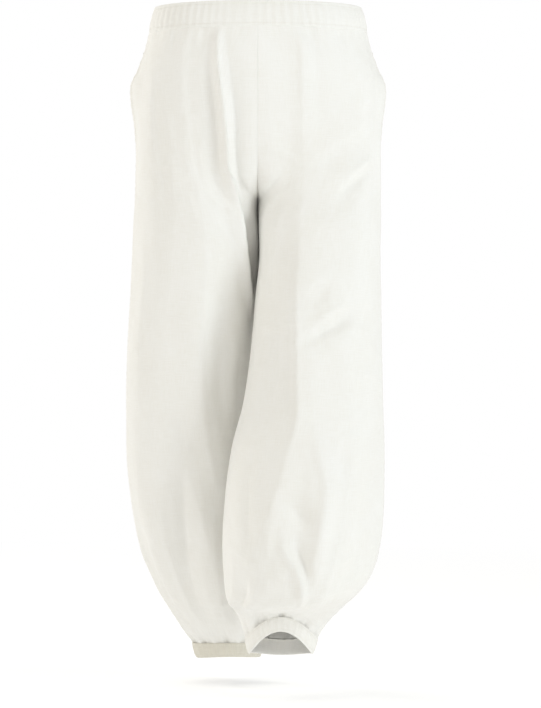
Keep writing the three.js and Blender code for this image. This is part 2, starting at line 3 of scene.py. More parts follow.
import bpy
import numpy as np
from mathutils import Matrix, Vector


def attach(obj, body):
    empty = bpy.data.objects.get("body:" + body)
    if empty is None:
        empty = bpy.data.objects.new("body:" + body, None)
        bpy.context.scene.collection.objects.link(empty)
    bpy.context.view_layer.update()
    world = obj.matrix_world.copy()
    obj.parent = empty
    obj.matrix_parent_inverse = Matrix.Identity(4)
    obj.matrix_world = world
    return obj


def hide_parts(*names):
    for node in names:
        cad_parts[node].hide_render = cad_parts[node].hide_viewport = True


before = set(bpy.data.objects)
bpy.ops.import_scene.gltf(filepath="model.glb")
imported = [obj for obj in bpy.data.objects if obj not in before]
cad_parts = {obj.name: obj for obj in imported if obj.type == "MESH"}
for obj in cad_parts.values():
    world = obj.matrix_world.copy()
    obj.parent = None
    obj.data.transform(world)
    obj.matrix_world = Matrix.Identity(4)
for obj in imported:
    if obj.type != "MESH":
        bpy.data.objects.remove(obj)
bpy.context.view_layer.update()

mm = 0.001

# Baggy pull-on trousers with balloon legs, hollow as when worn in mid-step. Lengths in this
# script are millimetres until a mesh is made. A point of the cloth has two coordinates:
# "around" runs from 0 at the side seam to 1 at the centre seam or inseam over the front and to
# -1 over the back, and "drop" is how far down the side seam that level lies.

# The hips: how deep the belly and the seat are, and how far the centre seam has turned in to
# the crotch, from 0 to 1.
hipColumns = ["drop", "bellyY", "seatY", "forkFront", "forkBack"]
hipRows = [
    [0, -98, 98, 0, 0],
    [36, -104, 104, 0, 0],
    [75, -108, 113, 0, 0],
    [116, -110, 120, 0.02, 0.02],
    [160, -111, 125, 0.05, 0.05],
    [205, -111, 126, 0.08, 0.12],
    [240, -110, 122, 0.17, 0.26],
    [268, -107, 118, 0.4, 0.54],
    [286, -104, 116, 1, 1],
]

# Rings of each leg at the side seam, the middle of the front, the inseam and the middle of the
# back. X grows outwards on both legs, and a row's drop is minus its outZ.
ringColumns = ["outX", "outY", "outZ", "frontY", "frontZ", "inX", "inY", "inZ", "backY", "backZ"]
leftRings = [
    [150, 0, 0, -98, 0, 0, 10, 0, 98, 0],
    [158, 0, -36, -104, -36, 0, 10, -36, 104, -36],
    [175, -3, -116, -114, -116, 0, 10, -116, 118, -116],
    [177, -8, -205, -122, -205, 0, 10, -205, 118, -205],
    [177, -14, -278, -128, -278, 0, 10, -278, 106, -278],
    [177, -20, -315, -134, -315, 1, -2, -315, 92, -315],
    [176, -27, -352, -140, -352, 2, -16, -352, 80, -352],
    [177, -42, -424, -152, -424, -4, -38, -424, 58, -424],
    [177.5, -60, -496, -164, -496, -10, -58, -496, 36, -496],
    [178.4, -75, -567, -178, -567, -20, -75, -567, 19, -567],
    [180, -88, -638, -195, -638, -37.6, -88, -638, 8, -638],
    [179, -98, -708, -208, -708, -46.7, -98, -708, 0, -708],
    [174, -104, -765, -214, -790, -50, -104, -772, -6, -765],
    [163, -107, -806, -211, -838, -47, -106, -828, -14, -806],
    [146, -109, -834, -203, -853, -43, -108, -850, -26, -832],
    [117, -112, -862, -183, -860, -33, -111, -863, -46, -862],
    [96, -114, -884, -168, -864, -24, -113, -880, -60, -890],
    [84, -115, -904, -163, -869, -17, -115, -902, -66, -910],
    [77, -116, -925, -162, -889, -12, -116, -924, -68, -931],
]
rightRings = [
    [150, 0, 0, -98, 0, 0, 10, 0, 98, 0],
    [158, 0, -36, -104, -36, 0, 10, -36, 104, -36],
    [175, 1, -116, -108, -116, 0, 10, -116, 120, -116],
    [177, 4, -205, -108, -205, 0, 10, -205, 124, -205],
    [179, 8, -278, -104, -278, 0, 10, -278, 122, -278],
    [180.5, 11, -315, -100, -315, -0.3, 11, -315, 120, -315],
    [182, 14, -350, -94, -350, -1.2, 14, -350, 118, -350],
    [186.5, 20, -423, -82, -423, 1, 20, -423, 116, -423],
    [191, 28, -496, -68, -496, 5, 28, -496, 118, -496],
    [193, 38, -569, -57, -569, 8, 38, -569, 127, -569],
    [193, 50, -643, -45, -643, 4, 50, -643, 142, -643],
    [187.5, 64, -716, -33, -716, 0, 64, -716, 160, -716],
    [180, 73, -760, -26, -762, -2, 73, -765, 172, -760],
    [173, 78, -790, -20, -795, -4, 78, -798, 179, -788],
    [161, 85, -821, -8, -832, -6, 85, -832, 183, -818],
    [148, 91, -851, 8, -862, -8, 91, -862, 182, -848],
    [130.5, 96, -881, 26, -888, -10, 96, -890, 174, -880],
    [111.5, 101, -911, 44, -912, -8, 101, -914, 162, -912],
    [97, 104, -932, 54, -928, -5, 104, -931, 154, -936],
    [91, 105, -952, 56, -947, -3, 105, -951, 153, -956],
]

# Creases listed as points along each, with its height there (a trough is negative) and how
# far it spreads towards the side seam (before) and away from it (after).
creaseColumns = ["around", "drop", "height", "before", "after"]
leftCreases = [
    # the pleat under the waistband that becomes the long crease down the front
    [[0.75, 44, 3, 30, 30], [0.76, 110, 3, 30, 24], [0.735, 184, 2.5, 40, 30],
     [0.633, 284, 2.5, 55, 34], [0.605, 400, 5, 60, 36], [0.6, 470, 6, 60, 34],
     [0.585, 538, 6, 56, 34], [0.565, 596, 4, 44, 30], [0.585, 646, 4, 38, 28], [0.63, 716, 3, 30, 26],
     [0.7, 752, 0, 26, 26]],
    # dents on the thigh
    [[0.6, 235, 0, 26, 22], [0.5, 222, -4, 30, 24], [0.36, 206, -3, 28, 24], [0.26, 190, 0, 22, 20]],
    [[0.48, 305, 0, 20, 20], [0.388, 279, -4, 26, 24], [0.25, 243, 0, 20, 20]],
    [[0.55, 488, 0, 20, 18], [0.48, 478, -5, 26, 24], [0.4, 458, -4, 26, 24], [0.3, 428, 0, 22, 22]],
    [[0.56, 444, 0, 18, 18], [0.49, 418, -4, 24, 22], [0.43, 396, 0, 20, 20]],
    # the loop of slack cloth that collapses above the cuff
    [[0.49, 600, 0, 30, 26], [0.455, 648, 5, 34, 28], [0.42, 691, 6, 34, 30], [0.44, 736, 5, 28, 26],
     [0.48, 788, 3, 24, 22], [0.52, 830, 0, 20, 20]],
    [[0.6, 690, 0, 24, 24], [0.53, 722, -7, 30, 26], [0.5, 765, -7, 28, 24], [0.49, 812, -3, 22, 22],
     [0.5, 842, 0, 20, 20]],
    [[0.57, 757, 0, 14, 14], [0.52, 775, 4, 16, 14], [0.487, 815, 2, 14, 14], [0.48, 840, 0, 12, 12]],
    # the notch where the inner edge folds back to the cuff
    [[0.74, 770, 0, 24, 24], [0.78, 806, -5, 26, 24], [0.83, 840, -5, 22, 20], [0.89, 866, 0, 18, 18]],
    # outer side
    [[0.16, 560, 0, 34, 34], [0.13, 660, -4, 40, 34], [0.15, 740, -5, 36, 30], [0.2, 800, 0, 26, 26]],
    # behind: slack under the seat, breaks behind the knee and gathers that fall to the cuff
    [[-0.9, 214, 0, 30, 30], [-0.7, 262, 5, 36, 30], [-0.45, 296, 4, 36, 30], [-0.2, 300, 0, 30, 30]],
    [[-0.86, 300, 0, 30, 28], [-0.62, 352, -6, 36, 32], [-0.36, 366, -4, 34, 30],
     [-0.16, 350, 0, 28, 26]],
    [[-0.45, 400, 0, 36, 36], [-0.5, 500, 5, 44, 36], [-0.56, 600, 6, 44, 36], [-0.5, 700, 5, 38, 34],
     [-0.46, 790, 0, 30, 30]],
    [[-0.24, 470, 0, 34, 34], [-0.27, 560, -5, 40, 34], [-0.22, 660, -5, 38, 34],
     [-0.28, 770, 0, 30, 30]],
    [[-0.78, 560, 0, 30, 28], [-0.72, 640, -6, 34, 30], [-0.76, 730, -5, 32, 28],
     [-0.7, 810, 0, 24, 24]],
]
rightCreases = [
    # the pleat that starts at the waistband and runs to the crotch
    [[0.775, 44, 4, 18, 12], [0.785, 87, 6, 20, 12], [0.81, 138, 7, 22, 12], [0.828, 184, 7, 22, 13],
     [0.825, 222, 7, 22, 14], [0.8, 261, 7, 24, 13], [0.784, 292, 6, 26, 12], [0.776, 325, 5, 26, 12],
     [0.786, 363, 5, 24, 12], [0.815, 395, 4, 22, 12], [0.855, 426, 3, 18, 11], [0.9, 470, 0, 12, 10]],
    # the hollow that it stands over, where the thigh turns in to the crotch
    [[0.84, 276, 0, 14, 26], [0.825, 316, -12, 15, 36], [0.832, 350, -14, 15, 36],
     [0.858, 386, -12, 14, 30], [0.892, 420, -6, 12, 20], [0.92, 456, 0, 10, 12]],
    [[0.735, 60, 0, 22, 14], [0.76, 105, -4, 24, 14], [0.77, 160, -5, 26, 16],
     [0.755, 225, -4, 28, 18], [0.69, 290, 0, 28, 22]],
    # the long edge down the front and the shallow trough inside it
    [[0.56, 250, 0, 46, 40], [0.565, 340, 4, 50, 40], [0.552, 440, 5, 50, 38], [0.56, 540, 5, 46, 36],
     [0.585, 610, 4, 40, 34], [0.62, 690, 0, 34, 30]],
    [[0.66, 300, 0, 26, 30], [0.655, 380, -1.8, 28, 40], [0.645, 460, -2.4, 28, 44],
     [0.67, 560, -2, 28, 40], [0.71, 640, 0, 26, 30]],
    # lower leg
    [[0.44, 640, 0, 34, 34], [0.448, 712, -5, 36, 34], [0.43, 775, -7, 34, 34],
     [0.417, 830, -5, 28, 28], [0.42, 880, 0, 22, 22]],
    [[0.58, 720, 0, 26, 26], [0.57, 790, 5, 30, 28], [0.55, 850, 4, 26, 24], [0.53, 900, 0, 20, 20]],
    [[0.26, 680, 0, 30, 30], [0.24, 760, 4, 34, 30], [0.26, 830, 4, 30, 26], [0.3, 890, 0, 22, 22]],
    [[0.12, 620, 0, 30, 30], [0.1, 720, -4, 34, 34], [0.13, 800, -4, 30, 28], [0.18, 870, 0, 22, 22]],
    # behind: drag lines under the seat, the bent knee's slack and the gathers that fall to the cuff
    [[-0.88, 190, 0, 32, 30], [-0.66, 236, 5, 38, 32], [-0.4, 268, 5, 38, 32],
     [-0.16, 276, 0, 30, 30]],
    [[-0.84, 268, 0, 28, 26], [-0.6, 318, -6, 34, 30], [-0.34, 336, -5, 34, 30],
     [-0.12, 322, 0, 26, 26]],
    [[-0.4, 410, 0, 34, 34], [-0.46, 520, 6, 42, 36], [-0.5, 640, 7, 42, 38], [-0.44, 760, 6, 36, 34],
     [-0.42, 860, 0, 28, 28]],
    [[-0.66, 460, 0, 30, 30], [-0.7, 560, -6, 36, 32], [-0.66, 680, -7, 36, 32],
     [-0.68, 800, -4, 30, 28], [-0.66, 870, 0, 22, 22]],
    [[-0.2, 560, 0, 32, 32], [-0.22, 660, -5, 38, 34], [-0.18, 780, -5, 34, 30],
     [-0.22, 870, 0, 24, 24]],
]

# Finer creases that only the cloth itself shows, with sharper crests than the form's own.
leftFineCreases = [
    # the step left of the centre seam and the long crease below it
    [[0.76, 40, 2.2, 34, 9], [0.763, 100, 2.6, 34, 9], [0.755, 142, 2, 34, 10],
     [0.74, 190, 0.8, 34, 14], [0.72, 225, 0, 30, 14]],
    [[0.66, 250, 0, 30, 16], [0.62, 330, 1.6, 40, 14], [0.605, 426, 4, 44, 12],
     [0.6, 483, 4.4, 44, 12], [0.585, 538, 4.4, 42, 12], [0.565, 596, 3.6, 38, 12],
     [0.575, 628, 3, 30, 12], [0.6, 682, 2.6, 26, 12], [0.63, 716, 2.4, 24, 12],
     [0.672, 741, 2, 22, 12], [0.718, 759, 1.2, 18, 12], [0.76, 775, 0, 16, 12]],
    # drags across the thigh
    [[0.785, 252, 0, 20, 20], [0.69, 246, -1, 22, 24], [0.595, 235, -1, 22, 24],
     [0.45, 218, -0.6, 20, 22], [0.36, 200, 0, 16, 18]],
    [[0.46, 281, 0, 12, 12], [0.408, 270, -3, 13, 17], [0.325, 255, -4.4, 13, 17],
     [0.25, 243, -3, 12, 16], [0.17, 232, 0, 10, 12]],
    [[0.42, 252, 0, 10, 12], [0.35, 240, 2.4, 12, 12], [0.26, 226, 2, 12, 12], [0.2, 216, 0, 10, 10]],
    [[0.46, 300, 0, 16, 18], [0.41, 286, -1.4, 16, 22], [0.36, 270, -1.4, 16, 22],
     [0.29, 250, 0, 14, 18]],
    [[0.585, 492, 0, 10, 12], [0.54, 484, -4, 12, 17], [0.47, 472, -5, 12, 18], [0.4, 463, -4, 12, 16],
     [0.33, 448, 0, 10, 12]],
    [[0.53, 462, 0, 9, 11], [0.48, 451, 3, 11, 11], [0.41, 439, 2.6, 11, 11], [0.35, 428, 0, 9, 9]],
    [[0.53, 436, 0, 12, 14], [0.49, 418, -1.6, 13, 18], [0.44, 398, -1, 13, 16],
     [0.41, 386, 0, 12, 12]],
    [[0.16, 150, 0, 12, 18], [0.22, 190, -1.8, 12, 20], [0.2, 260, -1.4, 14, 20],
     [0.24, 320, 0, 12, 16]],
    # the slack loop over the cuff and the dark hollows inside it
    [[0.5, 592, 0, 18, 14], [0.47, 630, 3.4, 24, 11], [0.43, 680, 4.4, 26, 10],
     [0.427, 706, 4.6, 26, 10], [0.44, 740, 4.2, 22, 10], [0.473, 783, 3.4, 18, 9],
     [0.51, 812, 0, 14, 9]],
    [[0.57, 706, 0, 12, 12], [0.53, 718, -4, 14, 14], [0.49, 726, -4.4, 14, 12],
     [0.45, 734, 0, 10, 10]],
    [[0.54, 742, 0, 9, 9], [0.51, 757, -5.6, 11, 11], [0.478, 778, -5, 11, 10], [0.465, 800, 0, 9, 9]],
    [[0.6, 745, 0, 12, 8], [0.568, 757, 3.6, 12, 7], [0.535, 768, 4.6, 12, 7],
     [0.508, 782, 4.4, 11, 7], [0.487, 815, 3, 11, 7], [0.48, 836, 0, 9, 7]],
    # the sharp crest of the long crease
    [[0.6, 430, 0, 9, 4], [0.594, 464, 1.3, 10, 5], [0.58, 538, 1.5, 10, 5], [0.563, 590, 1.5, 10, 5],
     [0.566, 616, 1, 9, 5], [0.58, 640, 0, 8, 4]],
    [[0.66, 790, 0, 12, 10], [0.63, 760, -2, 12, 12], [0.6, 730, -2.2, 12, 12],
     [0.58, 700, 0, 10, 10]],
    [[0.33, 560, 0, 20, 16], [0.31, 640, 2.2, 28, 14], [0.34, 720, 2.4, 28, 14],
     [0.39, 790, 2, 22, 12], [0.42, 830, 0, 16, 12]],
    [[0.24, 640, 0, 14, 18], [0.23, 700, -2, 16, 24], [0.26, 770, -2.4, 16, 24],
     [0.31, 830, 0, 12, 18]],
    [[0.74, 620, 0, 16, 16], [0.76, 680, -2, 18, 18], [0.74, 740, -2, 18, 18], [0.76, 800, 0, 14, 14]],
    # the notch beside the inner seam
    [[0.72, 776, 0, 12, 12], [0.77, 802, -3, 14, 12], [0.8, 832, -3, 14, 12], [0.87, 862, 0, 10, 10]],
    # the hidden sides
    [[-0.94, 236, 0, 14, 16], [-0.8, 290, 2.6, 20, 12], [-0.6, 322, 2.8, 22, 12],
     [-0.4, 326, 1.6, 20, 12], [-0.25, 318, 0, 14, 12]],
    [[-0.92, 312, 0, 14, 16], [-0.76, 372, -2.6, 16, 18], [-0.55, 396, -2.4, 16, 20],
     [-0.34, 392, 0, 12, 16]],
    [[-0.3, 500, 0, 14, 14], [-0.44, 540, 2.6, 20, 12], [-0.6, 556, 2.4, 20, 12],
     [-0.76, 546, 0, 14, 12]],
    [[-0.2, 600, 0, 14, 14], [-0.36, 646, -2.6, 18, 16], [-0.54, 660, -2.6, 18, 16],
     [-0.7, 640, 0, 14, 14]],
    [[-0.4, 640, 0, 16, 14], [-0.38, 720, 3, 22, 12], [-0.42, 800, 3, 20, 12],
     [-0.46, 870, 0, 14, 12]],
    [[-0.6, 660, 0, 14, 16], [-0.62, 740, -3, 16, 20], [-0.58, 820, -2.6, 16, 18],
     [-0.56, 872, 0, 12, 14]],
]
rightFineCreases = [
    # the pleat's crest, its sharp inner flank and the groove outside it
    [[0.775, 40, 2, 16, 6], [0.792, 90, 3, 17, 6], [0.818, 140, 3.4, 18, 6], [0.835, 188, 3.4, 18, 6],
     [0.83, 224, 3.2, 18, 6], [0.805, 261, 3.2, 18, 6], [0.788, 292, 3.2, 18, 6],
     [0.78, 325, 3.2, 18, 6], [0.79, 363, 3, 16, 6], [0.819, 395, 2.4, 14, 6],
     [0.859, 426, 1.4, 12, 6], [0.9, 466, 0, 8, 6]],
    [[0.82, 46, 0, 6, 16], [0.85, 100, -3.8, 8, 34], [0.872, 160, -5, 8, 36],
     [0.872, 215, -4.6, 8, 30], [0.862, 262, -3, 8, 22], [0.86, 300, 0, 6, 14]],
    [[0.74, 42, 0, 10, 14], [0.76, 86, -1, 14, 14], [0.772, 142, -1.2, 16, 14],
     [0.76, 200, -1, 18, 14], [0.71, 262, -0.8, 18, 16], [0.68, 320, 0, 14, 16]],
    # the long edge down the front
    [[0.575, 60, 0, 26, 14], [0.57, 140, 1.2, 34, 12], [0.575, 250, 1.6, 38, 12],
     [0.565, 340, 2.4, 40, 12], [0.552, 425, 3, 40, 12], [0.547, 482, 3.4, 38, 12],
     [0.56, 539, 3, 36, 12], [0.578, 596, 2.6, 30, 12], [0.6, 654, 1.6, 22, 12],
     [0.64, 710, 0, 16, 12]],
    [[0.69, 340, 0, 20, 20], [0.638, 425, -0.9, 22, 26], [0.652, 482, -1.1, 22, 26],
     [0.665, 539, -1, 22, 26], [0.698, 596, -0.8, 20, 24], [0.74, 650, 0, 16, 20]],
    [[0.36, 90, 0, 14, 20], [0.34, 170, -1.4, 16, 26], [0.37, 270, -1.6, 16, 26],
     [0.35, 360, 0, 14, 20]],
    [[0.2, 300, 0, 20, 14], [0.23, 400, 1.8, 28, 13], [0.21, 500, 2, 30, 13], [0.25, 600, 0, 22, 13]],
    [[0.8, 470, 0, 14, 14], [0.78, 540, -2.2, 16, 18], [0.8, 620, -2.2, 16, 18],
     [0.84, 690, 0, 12, 14]],
    # the soft hollow and streaks above the cuff
    [[0.47, 660, 0, 14, 14], [0.448, 712, -2.4, 18, 16], [0.43, 775, -3, 18, 16],
     [0.417, 813, -2.4, 16, 14], [0.41, 870, 0, 12, 12]],
    [[0.34, 700, 0, 14, 12], [0.33, 770, 2.4, 18, 11], [0.35, 830, 2.6, 18, 11],
     [0.37, 890, 0, 12, 10]],
    [[0.6, 730, 0, 14, 12], [0.585, 790, 2.6, 18, 11], [0.57, 850, 2.4, 16, 11],
     [0.555, 905, 0, 12, 10]],
    [[0.68, 740, 0, 12, 12], [0.665, 800, -2.8, 14, 14], [0.63, 860, -2.6, 12, 14],
     [0.61, 912, 0, 10, 10]],
    [[0.78, 740, 0, 14, 12], [0.76, 810, 2.4, 16, 11], [0.73, 870, 2, 14, 11], [0.71, 918, 0, 10, 10]],
    [[0.16, 860, 0, 9, 10], [0.225, 896, 2.6, 11, 8], [0.268, 922, 0, 9, 8]],
    [[0.2, 720, 0, 12, 14], [0.18, 780, -2.4, 14, 18], [0.2, 840, -2.4, 14, 16],
     [0.24, 896, 0, 10, 12]],
    # the hidden sides
    [[-0.92, 206, 0, 14, 16], [-0.76, 252, 2.6, 20, 12], [-0.54, 288, 3, 22, 12],
     [-0.34, 300, 1.8, 20, 12], [-0.2, 296, 0, 14, 12]],
    [[-0.9, 286, 0, 14, 16], [-0.72, 344, -2.8, 16, 20], [-0.5, 366, -2.6, 16, 20],
     [-0.3, 364, 0, 12, 16]],
    [[-0.28, 470, 0, 14, 14], [-0.44, 506, 3, 20, 12], [-0.6, 520, 2.8, 20, 12],
     [-0.78, 506, 0, 14, 12]],
    [[-0.22, 560, 0, 14, 14], [-0.4, 600, -3, 18, 16], [-0.58, 612, -3, 18, 16],
     [-0.76, 590, 0, 14, 14]],
    [[-0.36, 660, 0, 16, 14], [-0.34, 760, 3.2, 22, 12], [-0.38, 850, 3, 20, 12],
     [-0.4, 910, 0, 14, 12]],
    [[-0.56, 700, 0, 14, 16], [-0.57, 790, -3.2, 16, 20], [-0.55, 860, -2.8, 16, 18],
     [-0.53, 912, 0, 12, 14]],
]


def monotoneCurve(xs, ys):
    # cubic through the rows that never overshoots them
    xs, ys = np.array(xs, float), np.array(ys, float)
    widths = np.diff(xs)
    rises = np.diff(ys) / widths
    slopes = np.zeros_like(ys)
    slopes[0], slopes[-1] = rises[0], rises[-1]
    for i in range(1, len(xs) - 1):
        if rises[i - 1] * rises[i] > 0:
            near, far = 2 * widths[i] + widths[i - 1], widths[i] + 2 * widths[i - 1]
            slopes[i] = (near + far) / (near / rises[i - 1] + far / rises[i])

    def curve(x):
        x = np.clip(x, xs[0], xs[-1])
        i = np.clip(np.searchsorted(xs, x, side="right") - 1, 0, len(xs) - 2)
        w = widths[i]
        k = (x - xs[i]) / w
        start = (1 + 2 * k) * (1 - k) ** 2 * ys[i] + k * (1 - k) ** 2 * w * slopes[i]
        return start + k * k * (3 - 2 * k) * ys[i + 1] + k * k * (k - 1) * w * slopes[i + 1]

    return curve


def curvesThrough(columns, rows, drops):
    return {name: monotoneCurve(drops, [row[i] for row in rows]) for i, name in enumerate(columns)}


def smoothStep(x, start, end):
    k = np.clip((x - start) / (end - start), 0, 1)
    return k * k * (3 - 2 * k)


def between(first, second, share):
    return first + (second - first) * share


def unit(v):
    return v / np.maximum(np.linalg.norm(v, axis=-1, keepdims=True), 1e-9)


cut = {
    "crotchDrop": 286,  # where the legs part
    "waistDrop": 36,  # foot of the elastic casing
    "halfGirth": 310,  # about half a leg's girth, to turn "around" into millimetres
    "forkStart": 40,  # where the panels begin to close round each leg
    "forkEnd": 420,
    "forkAround": 0.35,
    "forkBlur": 36,  # the fork's bend spreads over this much of the panel, away from the seam
    "forkSharp": 0.8,  # from here to the seam it gets sharp
    "levelReach": 26,  # the cloth hangs level for this far under the casing
    "seamStep": 2.0,  # how far apart two points of the centre seam are taken for its direction
}
# the inner thighs press flat against each other, most from "full" to "ease"
thighPress = {"flatter": 0.45, "start": 190, "full": 270, "ease": 320, "end": 440}
hip = curvesThrough(hipColumns, hipRows, [row[0] for row in hipRows])
legs = {
    "left": {"sign": 1, "rings": leftRings, "creases": leftCreases, "fine": leftFineCreases,
             "cuffTop": 904, "hem": 925, "seed": 3},
    "right": {"sign": -1, "rings": rightRings, "creases": rightCreases, "fine": rightFineCreases,
              "cuffTop": 932, "hem": 952, "seed": 8},
}
for leg in legs.values():
    leg["ring"] = curvesThrough(ringColumns, leg["rings"], [-row[2] for row in leg["rings"]])


# The form of the legs, which the solids have too

def wrapped(around):
    around = np.where(around > 1, around - 2, around)
    return np.where(around < -1, around + 2, around)


def seamForkAt(curve, part, drop):
    reach = cut["forkBlur"] * (1 - smoothStep(part, cut["forkSharp"], 1))
    return sum(curve(drop + share * reach) for share in (-1, -0.5, 0, 0.5, 1)) / 5


def formPoint(leg, around, drop):
    around, drop = np.broadcast_arrays(wrapped(np.asarray(around, float)), np.asarray(drop, float))
    part = np.abs(around)
    front = around >= 0
    ring = {name: curve(drop) for name, curve in leg["ring"].items()}
    frontFork, backFork = [seamForkAt(hip[name], part, drop) for name in ("forkFront", "forkBack")]
    seamFork = np.where(front, frontFork, backFork)
    panelFork = smoothStep(drop, cut["forkStart"], cut["forkEnd"])
    fork = between(panelFork, seamFork, smoothStep(part, cut["forkAround"], 1))
    faceY = np.where(front, ring["frontY"], ring["backY"])
    faceZ = np.where(front, ring["frontZ"], ring["backZ"])
    middleY = np.where(front, hip["bellyY"](drop), hip["seatY"](drop))
    toOut, toIn = np.cos(np.pi * part / 2), np.sin(np.pi * part / 2)
    press = thighPress["flatter"] * smoothStep(drop, thighPress["start"], thighPress["full"])
    press = press * (1 - smoothStep(drop, thighPress["ease"], thighPress["end"]))
    bulge = np.maximum(np.sin(np.pi * part), 0) ** np.where(part > 0.5, 1 - press, 1)
    hipX = ring["outX"] * toOut
    hipY = ring["outY"] * toOut**2 + middleY * toIn
    legX = ring["outX"] * toOut**2 + ring["inX"] * toIn**2
    legY = ring["outY"] * toOut**2 + ring["inY"] * toIn**2
    legY = legY + (faceY - (ring["outY"] + ring["inY"]) / 2) * bulge
    legZ = ring["outZ"] * toOut**2 + ring["inZ"] * toIn**2
    legZ = legZ + (faceZ - (ring["outZ"] + ring["inZ"]) / 2) * bulge**2
    x = leg["sign"] * between(hipX, legX, fork)
    return np.stack([x, between(hipY, legY, fork), between(-drop, legZ, fork)], -1)


def outwardOf(surface, leg, around, drop, stepAround=0.012, stepDrop=4.0):
    around, drop = np.broadcast_arrays(np.asarray(around, float), np.asarray(drop, float))
    above = surface(leg, around, np.maximum(drop - stepDrop, 0))
    below = surface(leg, around, np.minimum(drop + stepDrop, leg["hem"]))
    # over the crotch a panel ends at the centre seam, and below it the leg goes on round
    most = np.where(drop < cut["crotchDrop"], 1, 2)
    ahead, behind = np.minimum(around + stepAround, most), np.maximum(around - stepAround, -most)
    across = surface(leg, ahead, drop) - surface(leg, behind, drop)
    outward = unit(leg["sign"] * np.cross(across, below - above))
    # on the centre seam both halves meet, so the direction lies in their shared plane
    onSeam = (np.abs(np.abs(around) - 1) < 1e-6) & (drop <= cut["crotchDrop"])
    if onSeam.any():
        step, side = cut["seamStep"], np.sign(around)
        lower = surface(leg, around, np.minimum(drop + step, cut["crotchDrop"]))
        along = lower - surface(leg, around, drop - step)
        shared = unit(np.stack([0 * side, side * along[..., 2], -side * along[..., 1]], -1))
        shared[drop > cut["crotchDrop"] - step / 2] = (0, 0, -1)
        outward = np.where(onSeam[..., None], shared, outward)
    return outward


def formOutward(leg, around, drop):
    outward = outwardOf(formPoint, leg, around, drop)
    outward[..., 2] *= smoothStep(drop, cut["waistDrop"], cut["waistDrop"] + cut["levelReach"])
    return unit(outward)


# What stands on the form: creases, gathers, the pocket's bump and fine wrinkles

def valueNoise(x, y, seed):
    # smooth noise from -1 to 1, the same on every run
    x, y = x + 37.0 * seed, y + 17.0 * seed
    xi, yi = np.floor(x), np.floor(y)
    fx, fy = x - xi, y - yi
    fx, fy = fx * fx * (3 - 2 * fx), fy * fy * (3 - 2 * fy)

    def corner(i, j):
        n = np.sin(i * 12.9898 + j * 78.233) * 43758.5453
        return 2 * (n - np.floor(n)) - 1

    top = corner(xi, yi) * (1 - fx) + corner(xi + 1, yi) * fx
    bottom = corner(xi, yi + 1) * (1 - fx) + corner(xi + 1, yi + 1) * fx
    return top * (1 - fy) + bottom * fy


# a fine crease is part rounded and part pointed
fineProfile = {"crisp": 0.6, "point": 1.7}


def creaseHeight(rows, around, drop, crisp=0.0):
    nearest = np.full(around.shape, np.inf)
    height = np.zeros(around.shape)
    x, y = around * cut["halfGirth"], drop
    for first, second in zip(rows, rows[1:]):
        a, b = dict(zip(creaseColumns, first)), dict(zip(creaseColumns, second))
        startX, startY = a["around"] * cut["halfGirth"], a["drop"]
        alongX, alongY = b["around"] * cut["halfGirth"] - startX, b["drop"] - startY
        k = np.clip(((x - startX) * alongX + (y - startY) * alongY) / (alongX**2 + alongY**2), 0, 1)
        awayX, awayY = x - startX - k * alongX, y - startY - k * alongY
        side = (awayX * alongY - awayY * alongX) * (1 if alongY >= 0 else -1)
        before, after = [between(a[name], b[name], k) for name in ("before", "after")]
        spread = np.where(side < 0, before, after)
        distance = np.hypot(awayX, awayY)
        share = np.clip(distance / spread, 0, 1)
        profile = (1 - crisp) * (1 - share**2) ** 2 + crisp * (1 - share) ** fineProfile["point"]
        rise = between(a["height"], b["height"], k) * profile
        height = np.where(distance < nearest, rise, height)
        nearest = np.minimum(distance, nearest)
    return height


waistGathers = {"perPanel": 5, "height": 2.2, "run": 46, "uneven": 0.45}
cuffGathers = {"perPanel": 5, "height": 3.0, "run": 52, "uneven": 0.4}
fineWaistGathers = {"perPanel": 14, "height": 1.1, "run": 20, "uneven": 0.6}
fineCuffGathers = {"perPanel": 13, "height": 1.7, "run": 26, "uneven": 0.6}
# the beat that makes each gather's height and run its own
gatherBeat = {"front": 1, "back": 4, "step": 2.4, "tall": 1.7, "run": 2.9}


def gatherHeight(kind, around, away):
    place = np.abs(around) * kind["perPanel"]
    wave = 0.5 - 0.5 * np.cos(2 * np.pi * place)
    first = np.where(around >= 0, gatherBeat["front"], gatherBeat["back"])
    beat = np.floor(place) * gatherBeat["step"] + first
    tall = 1 + kind["uneven"] * np.sin(beat * gatherBeat["tall"])
    run = kind["run"] * (1 + kind["uneven"] * np.sin(beat * gatherBeat["run"]))
    return -kind["height"] * tall * wave * np.exp(-((np.maximum(away, 0) / run) ** 2))


# the pocket's mouth stands off the side seam a little
hipBumpSizes = {"drop": 118, "height": 7.5, "above": 30, "below": 62, "reach": 60}
pocketMouth = {"top": 64, "bottom": 212, "lip": 3.0, "reach": 16, "topEase": 28, "bottomEase": 40}


def hipBump(around, drop):
    spread = np.where(drop < hipBumpSizes["drop"], hipBumpSizes["above"], hipBumpSizes["below"])
    along = np.maximum(1 - ((drop - hipBumpSizes["drop"]) / spread) ** 2, 0) ** 2
    across = np.maximum(1 - (around * cut["halfGirth"] / hipBumpSizes["reach"]) ** 2, 0) ** 2
    return hipBumpSizes["height"] * along * across


def mouthOpening(drop):
    top, bottom = pocketMouth["top"], pocketMouth["bottom"]
    opened = smoothStep(drop, top, top + pocketMouth["topEase"])
    return opened - smoothStep(drop, bottom - pocketMouth["bottomEase"], bottom)


def pocketLip(around, drop):
    across = np.maximum(1 - around * cut["halfGirth"] / pocketMouth["reach"], 0)
    return np.where(around >= 0, pocketMouth["lip"] * across**2 * mouthOpening(drop), 0)


